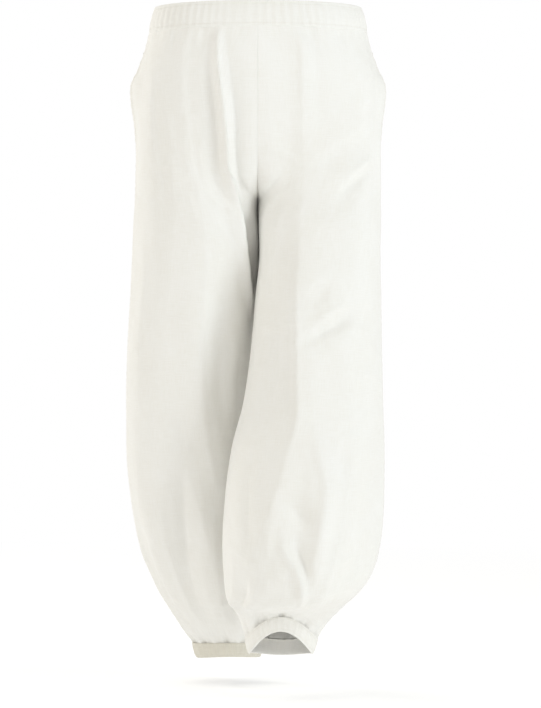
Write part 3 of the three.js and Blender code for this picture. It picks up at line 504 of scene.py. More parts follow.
wrinkles = {
    "drift": 14,  # how far a wrinkle wanders
    "driftAcross": {"across": 70, "along": 110},
    "driftAlong": {"across": 60, "along": 70},
    "kinds": [
        {"height": 1.8, "across": 58, "along": 170, "ridged": False},
        {"height": 1.0, "across": 27, "along": 110, "ridged": False},
        {"height": 1.3, "across": 36, "along": 30, "ridged": True},
        {"height": 0.4, "across": 13, "along": 16, "ridged": True},
    ],
}
# where the cloth is crumpled most
crumpled = {
    "crotch": {"reach": 90, "start": 0.3, "full": 0.8},
    "knee": {"drop": 520, "reach": 120, "back": 0.8, "front": 0.25},
    "ankle": {"start": 260, "full": 60},  # how far above the cuff
    "quiet": 0.3,  # what is left elsewhere
}


def sizedNoise(size, x, y, seed):
    return valueNoise(x / size["across"], y / size["along"], seed)


def crumpling(leg, around, drop):
    crotch, knee, ankle, quiet = crumpled.values()
    byCrotch = np.exp(-(((drop - cut["crotchDrop"]) / crotch["reach"]) ** 2))
    byCrotch = byCrotch * smoothStep(np.abs(around), crotch["start"], crotch["full"])
    byKnee = np.exp(-(((drop - knee["drop"]) / knee["reach"]) ** 2))
    byKnee = byKnee * np.where(around < 0, knee["back"], knee["front"])
    byAnkle = smoothStep(drop, leg["cuffTop"] - ankle["start"], leg["cuffTop"] - ankle["full"])
    return between(quiet, 1, np.clip(byCrotch + byKnee + byAnkle, 0, 1))


def wrinkleHeight(leg, around, drop):
    seed = leg["seed"] + np.where(around >= 0, 0, 5)
    x = around * cut["halfGirth"]
    x = x + wrinkles["drift"] * sizedNoise(wrinkles["driftAcross"], x, drop, seed + 11)
    y = drop + wrinkles["drift"] * sizedNoise(wrinkles["driftAlong"], x, drop, seed + 12)
    busy = crumpling(leg, around, drop)
    total = np.zeros(np.shape(drop))
    for i, kind in enumerate(wrinkles["kinds"]):
        noise = sizedNoise(kind, x, y, seed + i)
        if kind["ridged"]:
            noise = (1 - 2 * np.abs(noise)) * busy
        total = total + kind["height"] * noise
    return total


# the legs rub together just under the crotch
thighRub = {"height": 1.1, "seamStart": 0.9, "seamFull": 0.97,
            "start": 284, "full": 320, "ease": 370, "end": 410}


def thighTouch(leg, around, drop):
    if leg["sign"] > 0:
        return 0
    bySeam = smoothStep(np.abs(around), thighRub["seamStart"], thighRub["seamFull"])
    run = smoothStep(drop, thighRub["start"], thighRub["full"])
    run = run * (1 - smoothStep(drop, thighRub["ease"], thighRub["end"]))
    return thighRub["height"] * bySeam * run


# how the relief eases in from the seams, the crotch, the casing and the cuff
easing = {
    "seamFolds": 0.05,  # of the way round, all others in mm
    "crotchStart": 8,
    "crotchFull": 60,
    "waistStart": -4,
    "waistFull": 26,
    "drawnIn": 0.4,  # at the casing the gathers are drawn in, so they are lower there
    "drawnReach": 14,
    "seamWrinkles": 26,
    "waistWrinkles": 30,
    "cuffWrinkles": 24,
}
seamPucker = {"height": 0.3, "beat": 1.7, "wander": 2, "wanderBeat": 23, "reach": 8}


def reliefOf(leg, around, drop):
    fromSeam = 1 - np.abs(around)
    toSeam = np.minimum(fromSeam, np.abs(around)) * cut["halfGirth"]
    fromCrotch = np.hypot(fromSeam * cut["halfGirth"], drop - cut["crotchDrop"])
    fromWaist, fromCuff = drop - cut["waistDrop"], leg["cuffTop"] - drop
    folds = sum(creaseHeight(rows, around, drop) for rows in leg["creases"])
    folds = folds + sum(creaseHeight(rows, around, drop, fineProfile["crisp"]) for rows in leg["fine"])
    folds = folds * smoothStep(fromSeam, 0, easing["seamFolds"])
    folds = folds * smoothStep(fromCrotch, easing["crotchStart"], easing["crotchFull"])
    folds = folds * smoothStep(fromWaist, easing["waistStart"], easing["waistFull"])
    drawn = between(easing["drawnIn"], 1, smoothStep(fromWaist, 0, easing["drawnReach"]))
    waist = sum(gatherHeight(kind, around, fromWaist) for kind in (waistGathers, fineWaistGathers))
    cuff = sum(gatherHeight(kind, around, fromCuff) for kind in (cuffGathers, fineCuffGathers))
    wrinkle = wrinkleHeight(leg, around, drop) * smoothStep(toSeam, 0, easing["seamWrinkles"])
    wrinkle = wrinkle * smoothStep(fromWaist, 0, easing["waistWrinkles"])
    wrinkle = wrinkle * smoothStep(fromCuff, 0, easing["cuffWrinkles"])
    wander = seamPucker["wander"] * np.sin(drop / seamPucker["wanderBeat"])
    pucker = seamPucker["height"] * np.sin(drop / seamPucker["beat"] + wander)
    pucker = pucker * np.exp(-((toSeam / seamPucker["reach"]) ** 2)) * (fromSeam > 0.5)
    relief = folds + waist * drawn + cuff + wrinkle + pucker
    return relief + hipBump(around, drop) + thighTouch(leg, around, drop)


def clothPoint(leg, around, drop):
    around, drop = np.broadcast_arrays(wrapped(np.asarray(around, float)), np.asarray(drop, float))
    relief = reliefOf(leg, around, drop)[..., None]
    return formPoint(leg, around, drop) + formOutward(leg, around, drop) * relief


def clothOutward(leg, around, drop):
    return outwardOf(clothPoint, leg, around, drop, stepAround=0.005, stepDrop=1.6)


# Mesh making

def placed(name, data):
    made = bpy.data.objects.new(name, data)
    bpy.context.scene.collection.objects.link(made)
    return made


def smoothed(mesh):
    mesh.polygons.foreach_set("use_smooth", [True] * len(mesh.polygons))


def meshPiece(name, points, faces, material, cornerUvs):
    mesh = bpy.data.meshes.new(name)
    mesh.from_pydata((np.reshape(points, (-1, 3)) * mm).tolist(), [], faces.tolist())
    layer = mesh.uv_layers.new(name="cloth")
    layer.data.foreach_set("uv", (cornerUvs * mm).ravel())
    smoothed(mesh)
    mesh.materials.append(material)
    mesh.validate()
    return placed(name, mesh)


def gridFaces(rows, columns, start=0, turned=False):
    i, j = np.meshgrid(np.arange(rows - 1), np.arange(columns - 1), indexing="ij")
    first = start + i * columns + j
    below, beside = first + columns, first + 1
    corners = [first, beside, below + 1, below] if turned else [first, below, below + 1, beside]
    return np.stack(corners, -1).reshape(-1, 4)


def shellFaces(rows, columns, flipped):
    # two facing grids and the four narrow walls that close them
    size = rows * columns
    outer = gridFaces(rows, columns, turned=flipped)
    inner = gridFaces(rows, columns, size, turned=not flipped)
    rim = np.concatenate([
        np.arange(columns),
        np.arange(1, rows) * columns + columns - 1,
        (rows - 1) * columns + np.arange(columns - 2, -1, -1),
        np.arange(rows - 2, 0, -1) * columns,
    ])
    after = np.roll(rim, -1)
    walls = np.stack([rim, after, after + size, rim + size], -1)
    if flipped:
        walls = walls[:, ::-1]
    return np.concatenate([outer, inner, walls])


def turnEdge(points, normals, uvs, radius, allowance, rollSteps=4, insideSteps=3):
    # rolls the last column over a small radius and on inside, as a sewn edge does
    edge, normal = points[:, -1], normals[:, -1]
    toEdge = edge - points[:, -2]
    toEdge = unit(toEdge - normal * np.sum(toEdge * normal, -1, keepdims=True))
    newPoints, newNormals, newUvs = [points[:, :-1]], [normals[:, :-1]], [uvs[:, :-1]]
    stepUv = unit(uvs[:, -1] - uvs[:, -2])

    def add(point, direction, along):
        newPoints.append(point[:, None])
        newNormals.append(unit(direction)[:, None])
        newUvs.append((uvs[:, -1] + stepUv * along)[:, None])

    for i in range(rollSteps + 1):
        angle = i / rollSteps * math.pi / 2
        inward, down = radius * (1 - math.sin(angle)), radius * (1 - math.cos(angle))
        direction = normal * math.cos(angle) + toEdge * math.sin(angle)
        add(edge - toEdge * inward - normal * down, direction, down - inward)
    for depth in np.linspace(0, allowance, insideSteps + 1)[1:]:
        add(edge - normal * (radius + depth), toEdge, radius + depth)
    return np.concatenate(newPoints, 1), np.concatenate(newNormals, 1), np.concatenate(newUvs, 1)


def turnedBothWays(grids, radius, allowance):
    grids = turnEdge(*grids, radius, allowance)
    grids = turnEdge(*[g[:, ::-1] for g in grids], radius, allowance)
    return [g[:, ::-1] for g in grids]


# Shader nodes, written as expressions

class Wire:
    # a node socket that takes arithmetic
    def __init__(self, shader, socket):
        self.shader, self.socket = shader, socket

    def maths(self, operation, *others):
        return self.shader.node("ShaderNodeMath", {"operation": operation}, [self, *others])

    def __add__(self, other):
        return self.maths("ADD", other)

    def __mul__(self, other):
        return self.maths("MULTIPLY", other)

    def __sub__(self, other):
        return self.maths("SUBTRACT", other)

    def __rsub__(self, other):
        return self.shader.node("ShaderNodeMath", {"operation": "SUBTRACT"}, [other, self])

    def __truediv__(self, other):
        return self.maths("DIVIDE", other)

    def __pow__(self, other):
        return self.maths("POWER", other)

    def __mod__(self, other):
        return self.maths("FLOORED_MODULO", other)

    def __abs__(self):
        return self.maths("ABSOLUTE")

    def sine(self):
        return self.maths("SINE")

    def floor(self):
        return self.maths("FLOOR")

    def clamped(self):
        return self.shader.node("ShaderNodeClamp", {}, [self, 0.0, 1.0])

    __radd__, __rmul__ = __add__, __mul__


class Shader:
    def __init__(self, name):
        self.material = bpy.data.materials.new(name)
        self.material.use_nodes = True
        self.tree = self.material.node_tree
        self.tree.nodes.clear()

    def node(self, kind, settings, values, output=0):
        made = self.tree.nodes.new(kind)
        for key, value in settings.items():
            setattr(made, key, value)
        pairs = values.items() if isinstance(values, dict) else enumerate(values)
        for key, value in pairs:
            if isinstance(value, Wire):
                self.tree.links.new(value.socket, made.inputs[key])
            else:
                made.inputs[key].default_value = value
        return Wire(self, made.outputs[output]) if made.outputs else None

    def mixed(self, factor, first, second):
        # a colour between two colours or wires
        made = self.tree.nodes.new("ShaderNodeMix")
        made.data_type = "RGBA"
        sockets = [made.inputs[0], made.inputs[6], made.inputs[7]]
        for socket, value in zip(sockets, [factor, first, second]):
            if isinstance(value, Wire):
                self.tree.links.new(value.socket, socket)
            else:
                socket.default_value = value
        return Wire(self, made.outputs[2])


def rgb(red, green, blue):
    return (red, green, blue, 1.0)


clothLook = {
    "threadPitch": 0.00062,  # metres from one thread to the next
    "threadRound": 0.6,
    "dip": 0.65,  # how far a thread dips where it passes under
    "slubLength": 0.02,
    "slubPerThread": 0.6,
    "slubHeight": 0.6,
    "crumples": (160.0, 120.0),  # to a metre, across and down
    "crumpleHeight": 1.6,
    "blotches": (14.0, 9.0),
    "bumpDepth": 0.00016,
    "bumpStrength": 0.45,
    "base": rgb(0.86, 0.855, 0.825),
    "shade": rgb(0.81, 0.795, 0.745),
    "bleached": rgb(0.885, 0.885, 0.87),
    "shadeFrom": 0.3,
    "shadeContrast": 2.2,
    "bleachFrom": 0.42,
    "bleachContrast": 1.6,
    "bleachShare": 0.55,
    "roughness": 0.82,
    "slubRoughness": 0.14,
    "sheen": 0.22,
}


def clothMaterial(name, look, tone=1.0):
    shader = Shader(name)
    uv = shader.node("ShaderNodeUVMap", {"uv_map": "cloth"}, [])
    parts = shader.tree.nodes.new("ShaderNodeSeparateXYZ")
    shader.tree.links.new(uv.socket, parts.inputs[0])
    across, down = Wire(shader, parts.outputs[0]), Wire(shader, parts.outputs[1])

    def stretchedNoise(scaleAcross, scaleDown, detail):
        scale = (scaleAcross, scaleDown, 1.0)
        place = shader.node("ShaderNodeMapping", {}, {"Vector": uv, "Scale": scale})
        values = {"Vector": place, "Scale": 1.0, "Detail": detail, "Roughness": 0.55}
        return shader.node("ShaderNodeTexNoise", {}, values)

    pitch, dip, rounding = look["threadPitch"], look["dip"], look["threadRound"]
    slubAcross, slubAlong = look["slubPerThread"] / pitch, 1 / look["slubLength"]
    warpSlub = stretchedNoise(slubAcross, slubAlong, 1.0)
    weftSlub = stretchedNoise(slubAlong, slubAcross, 1.0)
    # plain weave: warp and weft take turns on top
    column, row = across / pitch, down / pitch
    over = (column.floor() + row.floor()) % 2.0
    thin, swell = 1 - look["slubHeight"] / 2, look["slubHeight"]
    warp = abs((column * math.pi).sine()) ** rounding * (thin + warpSlub * swell)
    weft = abs((row * math.pi).sine()) ** rounding * (thin + weftSlub * swell)
    weave = warp * (1 - dip + over * dip) + weft * (1.0 - over * dip)
    crumple = stretchedNoise(*look["crumples"], 3.0)
    blotch = stretchedNoise(*look["blotches"], 2.0)
    slubs = (warpSlub + weftSlub) * 0.5
    light = ((slubs - look["shadeFrom"]) * look["shadeContrast"]).clamped()
    bleach = ((blotch - look["bleachFrom"]) * look["bleachContrast"]).clamped() * look["bleachShare"]
    colour = shader.mixed(bleach, shader.mixed(light, look["shade"], look["base"]), look["bleached"])
    if tone != 1.0:
        colour = shader.mixed(1.0 - tone, colour, look["shade"])
    bumps = shader.node("ShaderNodeBump", {}, {
        "Strength": look["bumpStrength"], "Distance": look["bumpDepth"],
        "Height": weave + crumple * look["crumpleHeight"],
    })
    surface = shader.node("ShaderNodeBsdfPrincipled", {}, {
        "Base Color": colour, "Roughness": look["roughness"] + slubs * look["slubRoughness"],
        "Normal": bumps, "Sheen Weight": look["sheen"], "Sheen Roughness": 0.5,
        "Specular IOR Level": 0.25,
    })
    shader.node("ShaderNodeOutputMaterial", {}, [surface])
    return shader.material


threadLook = {
    "twists": 2400.0,  # to a metre
    "dark": rgb(0.72, 0.69, 0.6),
    "light": rgb(0.85, 0.83, 0.77),
    "roughness": 0.6,
    "sheen": 0.1,
}


def threadMaterial(look):
    shader = Shader("sewingThread")
    place = shader.node("ShaderNodeTexCoord", {}, [], output="Object")
    values = {"Vector": place, "Scale": look["twists"], "Detail": 1.0}
    twist = shader.node("ShaderNodeTexNoise", {}, values)
    surface = shader.node("ShaderNodeBsdfPrincipled", {}, {
        "Base Color": shader.mixed(twist, look["dark"], look["light"]),
        "Roughness": look["roughness"], "Sheen Weight": look["sheen"],
    })
    shader.node("ShaderNodeOutputMaterial", {}, [surface])
    return shader.material


# painted shade: the rear (right) leg's cuff is coloured darker than the front leg's, which keeps about the
# cloth's own colours
cuffColoursWithPaintedShade = {
    "left": {
        "base": rgb(0.86, 0.85, 0.815),
        "bleached": rgb(0.88, 0.875, 0.85),
        "shade": rgb(0.8, 0.785, 0.73),
    },
    # painted shade on the rear cuff: its darker base, bleached and shade colours stand in for shade
    "right": {
        "base": rgb(0.71, 0.685, 0.605),
        "bleached": rgb(0.74, 0.715, 0.64),
        "shade": rgb(0.65, 0.62, 0.53),
    },
}
pocketLook = {**clothLook, "threadPitch": 0.00045, "sheen": 0.05}
legCloth = clothMaterial("legCloth", clothLook)
casingCloth = clothMaterial("casingCloth", clothLook, tone=0.92)
# the right cuff's material carries the painted shade
cuffCloth = {
    side: clothMaterial(f"cuffCloth_{side}", {**clothLook, **shades})
    for side, shades in cuffColoursWithPaintedShade.items()
}
pocketCloth = clothMaterial("pocketCloth", pocketLook, tone=0.7)
thread = threadMaterial(threadLook)
print("materials made")


# Leg panels

panelSizes = {
    "columns": 108,
    "rows": 300,
    "wall": 1.0,
    "roll": 0.5,  # radius of a sewn edge
    "seamAllowance": 8,
    "endAllowance": 1.6,
    "flatWidth": {"front": 0.34, "back": 0.35},
    "flatLength": 0.9,
}


def panelGrids(leg, face):
    side = 1 if face == "front" else -1
    around = side * np.linspace(0, 1, panelSizes["columns"])[None, :]
    drop = between(cut["waistDrop"], leg["cuffTop"], np.linspace(0, 1, panelSizes["rows"]))
    # one row falls exactly on the crotch, where the centre seam ends
    drop[np.abs(drop - cut["crotchDrop"]).argmin()] = cut["crotchDrop"]
    around, drop = np.broadcast_arrays(around, drop[:, None])
    points, normals = clothPoint(leg, around, drop), clothOutward(leg, around, drop)
    if face == "front":
        points = points + normals * pocketLip(around, drop)[..., None]
    girth = np.linalg.norm(np.diff(points, axis=1), axis=-1).sum(1)[:, None]
    middle = points[:, panelSizes["columns"] // 2]
    steps = np.linalg.norm(np.diff(middle, axis=0), axis=-1)
    length = np.concatenate([[0], np.cumsum(steps)])[:, None]
    uvs = np.stack(np.broadcast_arrays((np.abs(around) - 0.5) * girth, -length), -1)
    return points, normals, uvs


def shellPiece(name, points, normals, uvs, wall, material, flipped):
    rows, columns = points.shape[:2]
    both = np.concatenate([points.reshape(-1, 3), (points - normals * wall).reshape(-1, 3)])
    bothUvs = np.concatenate([uvs.reshape(-1, 2), uvs.reshape(-1, 2)])
    faces = shellFaces(rows, columns, flipped)
    return meshPiece(name, both, faces, material, bothUvs[faces])


def legPanel(side, face):
    leg = legs[side]
    grids = panelGrids(leg, face)
    # first the sides are turned in, then the ends
    for allowance in (panelSizes["seamAllowance"], panelSizes["endAllowance"]):
        turned = turnedBothWays(grids, panelSizes["roll"], allowance)
        grids = [g.swapaxes(0, 1) for g in turned]
    points, normals, uvs = grids
    flipped = (leg["sign"] < 0) != (face == "back")
    piece = shellPiece(f"{face}Panel_{side}", points, normals, uvs, panelSizes["wall"], legCloth, flipped)
    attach(piece, "root")
    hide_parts(f"{face}_{side}")
    print("panel made", face, side, len(piece.data.polygons))


# Bands: the elastic casing at the waist and the gathered cuffs

casingSizes = {
    "steps": 720,
    "section": 30,
    "wall": 3.0,
    "gathers": 74,
    "gatherHeight": 1.3,
    "crown": 1.0,
    "proud": 0,
    "overlap": 2.0,
    "stitchRows": [5.0, 31.0],
    "stitchDent": 0.7,
    "seed": 2,
    "flatLength": 1.02,
}
cuffSizes = {
    "steps": 320,
    "section": 22,
    "wall": 2.4,
    "gathers": 34,
    "gatherHeight": 1.4,
    "crown": 0.6,
    "proud": 0.9,
    "overlap": 2.0,
    "stitchRows": [3.5, 17.0],
    "stitchDent": 0.5,
    "flatLength": {"left": 0.36, "right": 0.42},
    "flatDepth": 0.021,
}
bandForm = {
    "endRound": 0.45,  # below 1 the section is squarer than an ellipse
    "faceRound": 0.5,
    "puffAtEdge": 0.55,  # how much of the gathers is left at the band's edges
    "innerPuff": 0.4,
    "dentReach": 1.6,  # how wide a row of stitches presses the cloth in
    "patternStretch": 1.15,  # the gathered cloth is longer than the band
}


def sectionLoop(count):
    # a rounded strip seen end on: share of the depth and share of the wall, going round
    angle = np.linspace(0, 2 * np.pi, count, endpoint=False)
    down = 0.5 - 0.5 * np.sign(np.cos(angle)) * np.abs(np.cos(angle)) ** bandForm["endRound"]
    out = np.sign(np.sin(angle)) * np.abs(np.sin(angle)) ** bandForm["faceRound"]
    return down[:, None], out[:, None]


def rucheHeight(share, gathers, seed):
    # uneven gathers all the way round a band, from 0 to 1
    turn = 2 * np.pi * share
    drifts = [(1.3, 3, seed), (0.9, 7, 2 * seed), (0.5, 13, 5)]
    wander = sum(reach * np.sin(waves * turn + start) for reach, waves, start in drifts)
    size = 0.7 + 0.3 * np.sin(5 * turn + 3 * seed)
    return size * (0.5 + 0.5 * np.cos(gathers * turn + wander))


def bandPuff(sizes, share, down, seed):
    # how far the outside swells between the band's edges
    middle = np.sin(np.pi * down)
    gathers = sizes["gatherHeight"] * rucheHeight(share, sizes["gathers"], seed)
    return sizes["crown"] * middle + gathers * between(bandForm["puffAtEdge"], 1, middle)


def bandGrid(pointOf, sizes, depth, seed):
    share = np.linspace(0, 1, sizes["steps"], endpoint=False)[None, :]
    down, out = sectionLoop(sizes["section"])
    outer = out > 0
    fromRows = [(down * depth - row) / bandForm["dentReach"] for row in sizes["stitchRows"]]
    dent = sizes["stitchDent"] * sum(np.exp(-(away**2)) for away in fromRows)
    puff = bandPuff(sizes, share, down, seed) - dent
    facing = np.where(outer, out, -bandForm["innerPuff"] * out)
    offset = (out - 1) * sizes["wall"] / 2 + sizes["proud"]
    points, outward = pointOf(share, down)
    points = points + outward * (offset + facing * puff)[..., None]
    girth = np.linalg.norm(np.diff(points[0], axis=0), axis=-1).sum()
    along = np.where(outer, down, 2 - down) * depth
    uvs = np.stack(np.broadcast_arrays(share * girth * bandForm["patternStretch"], along), -1)
    return points, uvs


def bandPiece(name, points, uvs, material, flipped):
    rows, columns = points.shape[:2]
    index = np.arange(rows * columns).reshape(rows, columns)
    index = np.concatenate([index, index[:1]])
    a, b = index[:-1], index[1:]
    faces = np.stack([a, b, np.roll(b, -1, 1), np.roll(a, -1, 1)], -1)
    cornerUvs = uvs.reshape(-1, 2)[faces]
    # the pattern runs on where the band closes, along its length and round its section
    cornerUvs[:, -1, 2:, 0] += uvs[0, -1, 0] + uvs[0, 1, 0]
    cornerUvs[-1, :, 1:3, 1] += 2 * uvs[:, 0, 1].max() - uvs[-1, 0, 1]
    faces, cornerUvs = faces.reshape(-1, 4), cornerUvs.reshape(-1, 4, 2)
    if flipped:
        faces, cornerUvs = faces[:, ::-1], cornerUvs[:, ::-1]
    return meshPiece(name, points, faces, material, cornerUvs)


def waistPoint(share, down):
    # from the middle of the front round the left half to the back, and home by the right half
    share, down = np.broadcast_arrays(share, down)
    drop = down * (cut["waistDrop"] + casingSizes["overlap"])
    points, outward = [], []
    for side, around in {"left": 1 - 4 * share, "right": 4 * share - 3}.items():
        points.append(formPoint(legs[side], around, drop))
        outward.append(formOutward(legs[side], np.clip(around, -1, 1), drop))
    onLeft = (share < 0.5)[..., None]
    return np.where(onLeft, *points), np.where(onLeft, *outward)


def cuffPoint(leg):
    def place(share, down):
        share, down = np.broadcast_arrays(share, down)
        top = leg["cuffTop"] - cuffSizes["overlap"]
        drop = top + down * (leg["hem"] - top)
        around = 1 - 2 * share
        return formPoint(leg, around, drop), formOutward(leg, around, drop)
    return place


def elasticCasing():
    points, uvs = bandGrid(waistPoint, casingSizes, cut["waistDrop"], casingSizes["seed"])
    piece = bandPiece("elasticCasing", points, uvs, casingCloth, False)
    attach(piece, "root")
    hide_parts("waistband")
    print("casing made")


def cuffBand(side):
    leg = legs[side]
    points, uvs = bandGrid(cuffPoint(leg), cuffSizes, leg["hem"] - leg["cuffTop"], leg["seed"])
    piece = bandPiece(f"cuffBand_{side}", points, uvs, cuffCloth[side], leg["sign"] < 0)
    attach(piece, "root")
    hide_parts(f"cuff_{side}")
    print("cuff made", side)


# Pocket bags

bagSizes = {
    "aroundStart": 0.035,
    "aroundEnd": 0.5,
    "top": 72,
    "bottom": 300,
    "neckWidth": 0.55,
    "neckShare": 0.45,
    "cornerShare": 0.34,
    "cornerCut": 0.85,
    "clear": 1.2,
    "wall": 1.6,
    "rimWall": 0.45,
    "rimAcross": 10,  # the wall is full after this part of the bag's width, and of its depth
    "rimDown": 14,
    "columns": 50,
    "rows": 80,
    "flatWidth": 0.145,
    "flatLength": 0.23,
    "area": 0.0215,
}


def pocketBag(side):
    leg, b = legs[side], bagSizes
    down = np.linspace(0, 1, b["rows"])[:, None]
    neck = between(b["neckWidth"], 1, smoothStep(down, 0, b["neckShare"]))
    low = np.maximum((down - (1 - b["cornerShare"])) / b["cornerShare"], 0)
    reach = (b["aroundEnd"] - b["aroundStart"]) * neck * np.sqrt(1 - b["cornerCut"] * low**2)
    across = np.linspace(0, 1, b["columns"])[None, :]
    around = b["aroundStart"] + reach * across
    around, drop = np.broadcast_arrays(around, between(b["top"], b["bottom"], down))
    outward = clothOutward(leg, around, drop)
    fromSide, fromEnd = np.minimum(across, 1 - across), np.minimum(down, 1 - down)
    rim = np.minimum(fromSide * b["rimAcross"], fromEnd * b["rimDown"])
    thick = b["wall"] * between(b["rimWall"], 1, np.clip(rim, 0, 1))
    points = clothPoint(leg, around, drop) - outward * (panelSizes["wall"] + b["clear"])
    uvs = np.stack([around * cut["halfGirth"], -drop], -1)
    wall = thick[..., None]
    piece = shellPiece(f"pocketBag_{side}", points, outward, uvs, wall, pocketCloth, leg["sign"] < 0)
    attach(piece, "root")
    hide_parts(f"pocket_{side}")
    print("pocket made", side)


# Sewing: stitches laid along paths by one node tree

stitchSizes = {
    "spacing": 3.1,
    "length": 2.3,
    "thickness": 0.5,
    "proud": 0.1,
    "mouthInset": 5.5,  # from the pocket's mouth
    "mouthProud": 0.12,
    "mouthEnds": 2,
    "tackStart": 0.4,
    "tackEnd": 6.5,
    "tackTurns": 6,
    "tackHeight": 0.8,
    "tackProud": 0.25,
}


def stitchTree():
    tree = bpy.data.node_groups.new("stitchesAlongPath", "GeometryNodeTree")
    inputs = {"Geometry": "Geometry", "Spacing": "Float", "Length": "Float", "Thickness": "Float",
              "Thread": "Material"}
    for name, kind in inputs.items():
        tree.interface.new_socket(name, in_out="INPUT", socket_type=f"NodeSocket{kind}")
    tree.interface.new_socket("Geometry", in_out="OUTPUT", socket_type="NodeSocketGeometry")
    kinds = {
        "start": "NodeGroupInput",
        "path": "GeometryNodeMeshToCurve",
        "places": "GeometryNodeCurveToPoints",
        "bead": "GeometryNodeMeshUVSphere",
        "size": "ShaderNodeCombineXYZ",
        "stitch": "GeometryNodeTransform",
        "row": "GeometryNodeInstanceOnPoints",
        "real": "GeometryNodeRealizeInstances",
        "coloured": "GeometryNodeSetMaterial",
        "end": "NodeGroupOutput",
    }
    nodes = {name: tree.nodes.new(kind) for name, kind in kinds.items()}
    nodes["places"].mode = "LENGTH"
    for name, value in {"Segments": 6, "Rings": 4, "Radius": 0.5}.items():
        nodes["bead"].inputs[name].default_value = value
    links = [
        ("start", "Geometry", "path", "Mesh"),
        ("path", "Curve", "places", "Curve"),
        ("start", "Spacing", "places", "Length"),
        ("start", "Thickness", "size", "X"),
        ("start", "Thickness", "size", "Y"),
        ("start", "Length", "size", "Z"),
        ("bead", "Mesh", "stitch", "Geometry"),
        ("size", "Vector", "stitch", "Scale"),
        ("places", "Points", "row", "Points"),
        ("places", "Rotation", "row", "Rotation"),
        ("stitch", "Geometry", "row", "Instance"),
        ("row", "Instances", "real", "Geometry"),
        ("real", "Geometry", "coloured", "Geometry"),
        ("start", "Thread", "coloured", "Material"),
        ("coloured", "Geometry", "end", "Geometry"),
    ]
    for source, output, target, socket in links:
        tree.links.new(nodes[source].outputs[output], nodes[target].inputs[socket])
    return tree


def sewnAlong(name, paths, tree):
    # paths are lists of points in millimetres, each with whether it closes on itself
    points, edges = [], []
    for path, closed in paths:
        first, count = len(points), len(path)
        points.extend((np.asarray(path) * mm).tolist())
        edges.extend([first + i, first + i + 1] for i in range(count - 1))
        if closed:
            edges.append([first + count - 1, first])
    mesh = bpy.data.meshes.new(name + "Path")
    mesh.from_pydata(points, edges, [])
    guide = placed(name + "Path", mesh)
    sewing = guide.modifiers.new("stitches", "NODES")
    sewing.node_group = tree
    values = {key.capitalize(): stitchSizes[key] * mm for key in ("spacing", "length", "thickness")}
    values["Thread"] = thread
    for item in tree.interface.items_tree:
        if item.in_out == "INPUT" and item.name in values:
            sewing[item.identifier] = values[item.name]
    bpy.context.view_layer.update()
    evaluated = guide.evaluated_get(bpy.context.evaluated_depsgraph_get())
    made = bpy.data.meshes.new_from_object(evaluated)
    guide.modifiers.remove(sewing)
    bpy.data.objects.remove(guide)
    smoothed(made)
    piece = placed(name, made)
    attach(piece, "root")
    print("sewn", name, len(made.polygons))


def bandStitchPath(pointOf, sizes, depth, row, seed):
    share = np.linspace(0, 1, sizes["steps"], endpoint=False)[None, :]
    down = np.array([[row / depth]])
    points, outward = pointOf(share, down)
    lift = sizes["proud"] + bandPuff(sizes, share, down, seed) - sizes["stitchDent"] + stitchSizes["proud"]
    return (points + outward * lift[..., None])[0]


def bandStitchPaths(pointOf, sizes, depth, seed):
    return [(bandStitchPath(pointOf, sizes, depth, row, seed), True) for row in sizes["stitchRows"]]


def mouthStitchPath(leg, ends):
    drop = np.linspace(*ends, 90)
    around = np.full_like(drop, stitchSizes["mouthInset"] / cut["halfGirth"])
    lift = pocketLip(around, drop) + stitchSizes["mouthProud"]
    return clothPoint(leg, around, drop) + clothOutward(leg, around, drop) * lift[..., None]


def tackPath(leg, drop):
    # to and fro across the end of the mouth
    turns = stitchSizes["tackTurns"]
    around = np.linspace(stitchSizes["tackStart"], stitchSizes["tackEnd"], 2 * turns) / cut["halfGirth"]
    level = drop + stitchSizes["tackHeight"] * np.array([0, 1] * turns)
    return clothPoint(leg, around, level) + clothOutward(leg, around, level) * stitchSizes["tackProud"]


def sewEverything():
    tree = stitchTree()
    casing = bandStitchPaths(waistPoint, casingSizes, cut["waistDrop"], casingSizes["seed"])
    sewnAlong("casingStitches", casing, tree)
    for side, leg in legs.items():
        cuff = bandStitchPaths(cuffPoint(leg), cuffSizes, leg["hem"] - leg["cuffTop"], leg["seed"])
        sewnAlong(f"cuffStitches_{side}", cuff, tree)
        inside = stitchSizes["mouthEnds"]
        ends = [pocketMouth["top"] + inside, pocketMouth["bottom"] - inside]
        mouth = [mouthStitchPath(leg, ends)] + [tackPath(leg, drop) for drop in ends]
        sewnAlong(f"pocketStitches_{side}", [(path, False) for path in mouth], tree)


elasticCasing()
for sideName in legs:
    legPanel(sideName, "front")
    legPanel(sideName, "back")
    cuffBand(sideName)
    pocketBag(sideName)
sewEverything()


# Studio

studio = {
    "distance": 4.2,
    "aimX": 0.0181,
    "aimZ": -0.5017,
    "viewHeight": 1.0266,  # metres of the trousers' plane from the frame's top to its bottom
    "sensor": 36.0,
    "floorZ": -0.99,
    "floorRadius": 30.0,
    "floorColour": rgb(0.7, 0.7, 0.7),
    "floorGlow": 0.42,
    "fadeStart": 1.1,
    "fadeEnd": 3.4,
    "air": 0.63,
    "airColour": rgb(1.0, 0.982, 0.935),
}
lamps = {
    "key": {"place": (2.9, -1.9, 1.7), "size": 1.3, "power": 38.0, "colour": (0.86, 0.94, 1.0)},
    "lowKey": {"place": (2.6, -2.4, -0.5), "size": 1.2, "power": 19.0, "colour": (0.88, 0.95, 1.0)},
    "fill": {"place": (-3.5, -1.8, 2.1), "size": 2.2, "power": 39.0, "colour": (1.0, 0.965, 0.88)},
    "behind": {"place": (-3.1, 2.3, 1.5), "size": 1.2, "power": 40.0, "colour": (1.0, 0.985, 0.95)},
}
white = rgb(1.0, 1.0, 1.0)


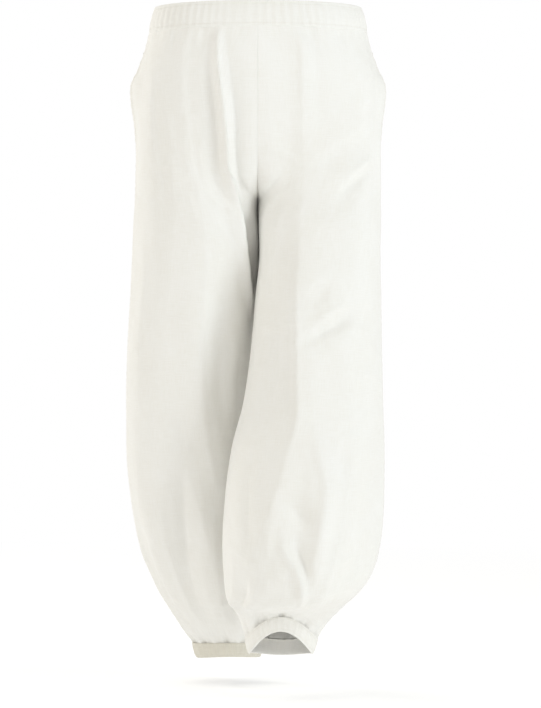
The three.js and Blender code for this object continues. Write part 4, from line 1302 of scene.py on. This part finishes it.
def makeFloor():
    # pale near the trousers and fading to white further out
    shader = Shader("paleFloor")
    place = shader.node("ShaderNodeTexCoord", {}, [], output="Object")
    away = shader.node("ShaderNodeVectorMath", {"operation": "LENGTH"}, [place], output="Value")
    surface = shader.node("ShaderNodeBsdfPrincipled", {}, {
        "Base Color": studio["floorColour"], "Roughness": 0.95, "Specular IOR Level": 0.1,
        "Emission Color": white, "Emission Strength": studio["floorGlow"],
    })
    glow = shader.node("ShaderNodeEmission", {}, {"Color": white, "Strength": 1.0})
    fade = ((away - studio["fadeStart"]) / (studio["fadeEnd"] - studio["fadeStart"])).clamped()
    both = shader.node("ShaderNodeMixShader", {}, [fade, surface, glow])
    shader.node("ShaderNodeOutputMaterial", {}, [both])
    radius, level = studio["floorRadius"], studio["floorZ"]
    turns = np.linspace(0, 2 * math.pi, 96, endpoint=False)
    corners = [(radius * math.cos(turn), radius * math.sin(turn), level) for turn in turns]
    mesh = bpy.data.meshes.new("studioFloor")
    mesh.from_pydata(corners, [], [tuple(range(len(corners)))])
    mesh.materials.append(shader.material)
    placed("studioFloor", mesh)


def makeLamps():
    aim = Vector((0, 0, studio["aimZ"]))
    for name, lamp in lamps.items():
        light = bpy.data.lights.new(name, "AREA")
        light.shape, light.size = "DISK", lamp["size"]
        light.energy, light.color = lamp["power"], lamp["colour"]
        holder = placed(name, light)
        holder.location = lamp["place"]
        holder.rotation_euler = (aim - holder.location).to_track_quat("-Z", "Y").to_euler()


def makeAir():
    # it lights the cloth softly and looks white itself
    world = bpy.data.worlds.new("studioAir")
    world.use_nodes = True
    nodes, links = world.node_tree.nodes, world.node_tree.links
    nodes.clear()
    both = nodes.new("ShaderNodeMixShader")
    links.new(nodes.new("ShaderNodeLightPath").outputs["Is Camera Ray"], both.inputs[0])
    for i, (colour, strength) in enumerate([(studio["airColour"], studio["air"]), (white, 1.0)], 1):
        glow = nodes.new("ShaderNodeBackground")
        glow.inputs["Color"].default_value = colour
        glow.inputs["Strength"].default_value = strength
        links.new(glow.outputs[0], both.inputs[i])
    links.new(both.outputs[0], nodes.new("ShaderNodeOutputWorld").inputs[0])
    bpy.context.scene.world = world
    bpy.context.scene.view_settings.view_transform = "Standard"


def makeCamera():
    lens = bpy.data.cameras.new("viewCamera")
    lens.sensor_fit = "VERTICAL"
    lens.sensor_height = studio["sensor"]
    lens.lens = studio["sensor"] * studio["distance"] / studio["viewHeight"]
    camera = placed("viewCamera", lens)
    camera.location = (studio["aimX"], -studio["distance"], studio["aimZ"])
    camera.rotation_euler = (math.pi / 2, 0, 0)
    bpy.context.scene.camera = camera


makeFloor()
makeLamps()
makeAir()
makeCamera()
print("studio made")
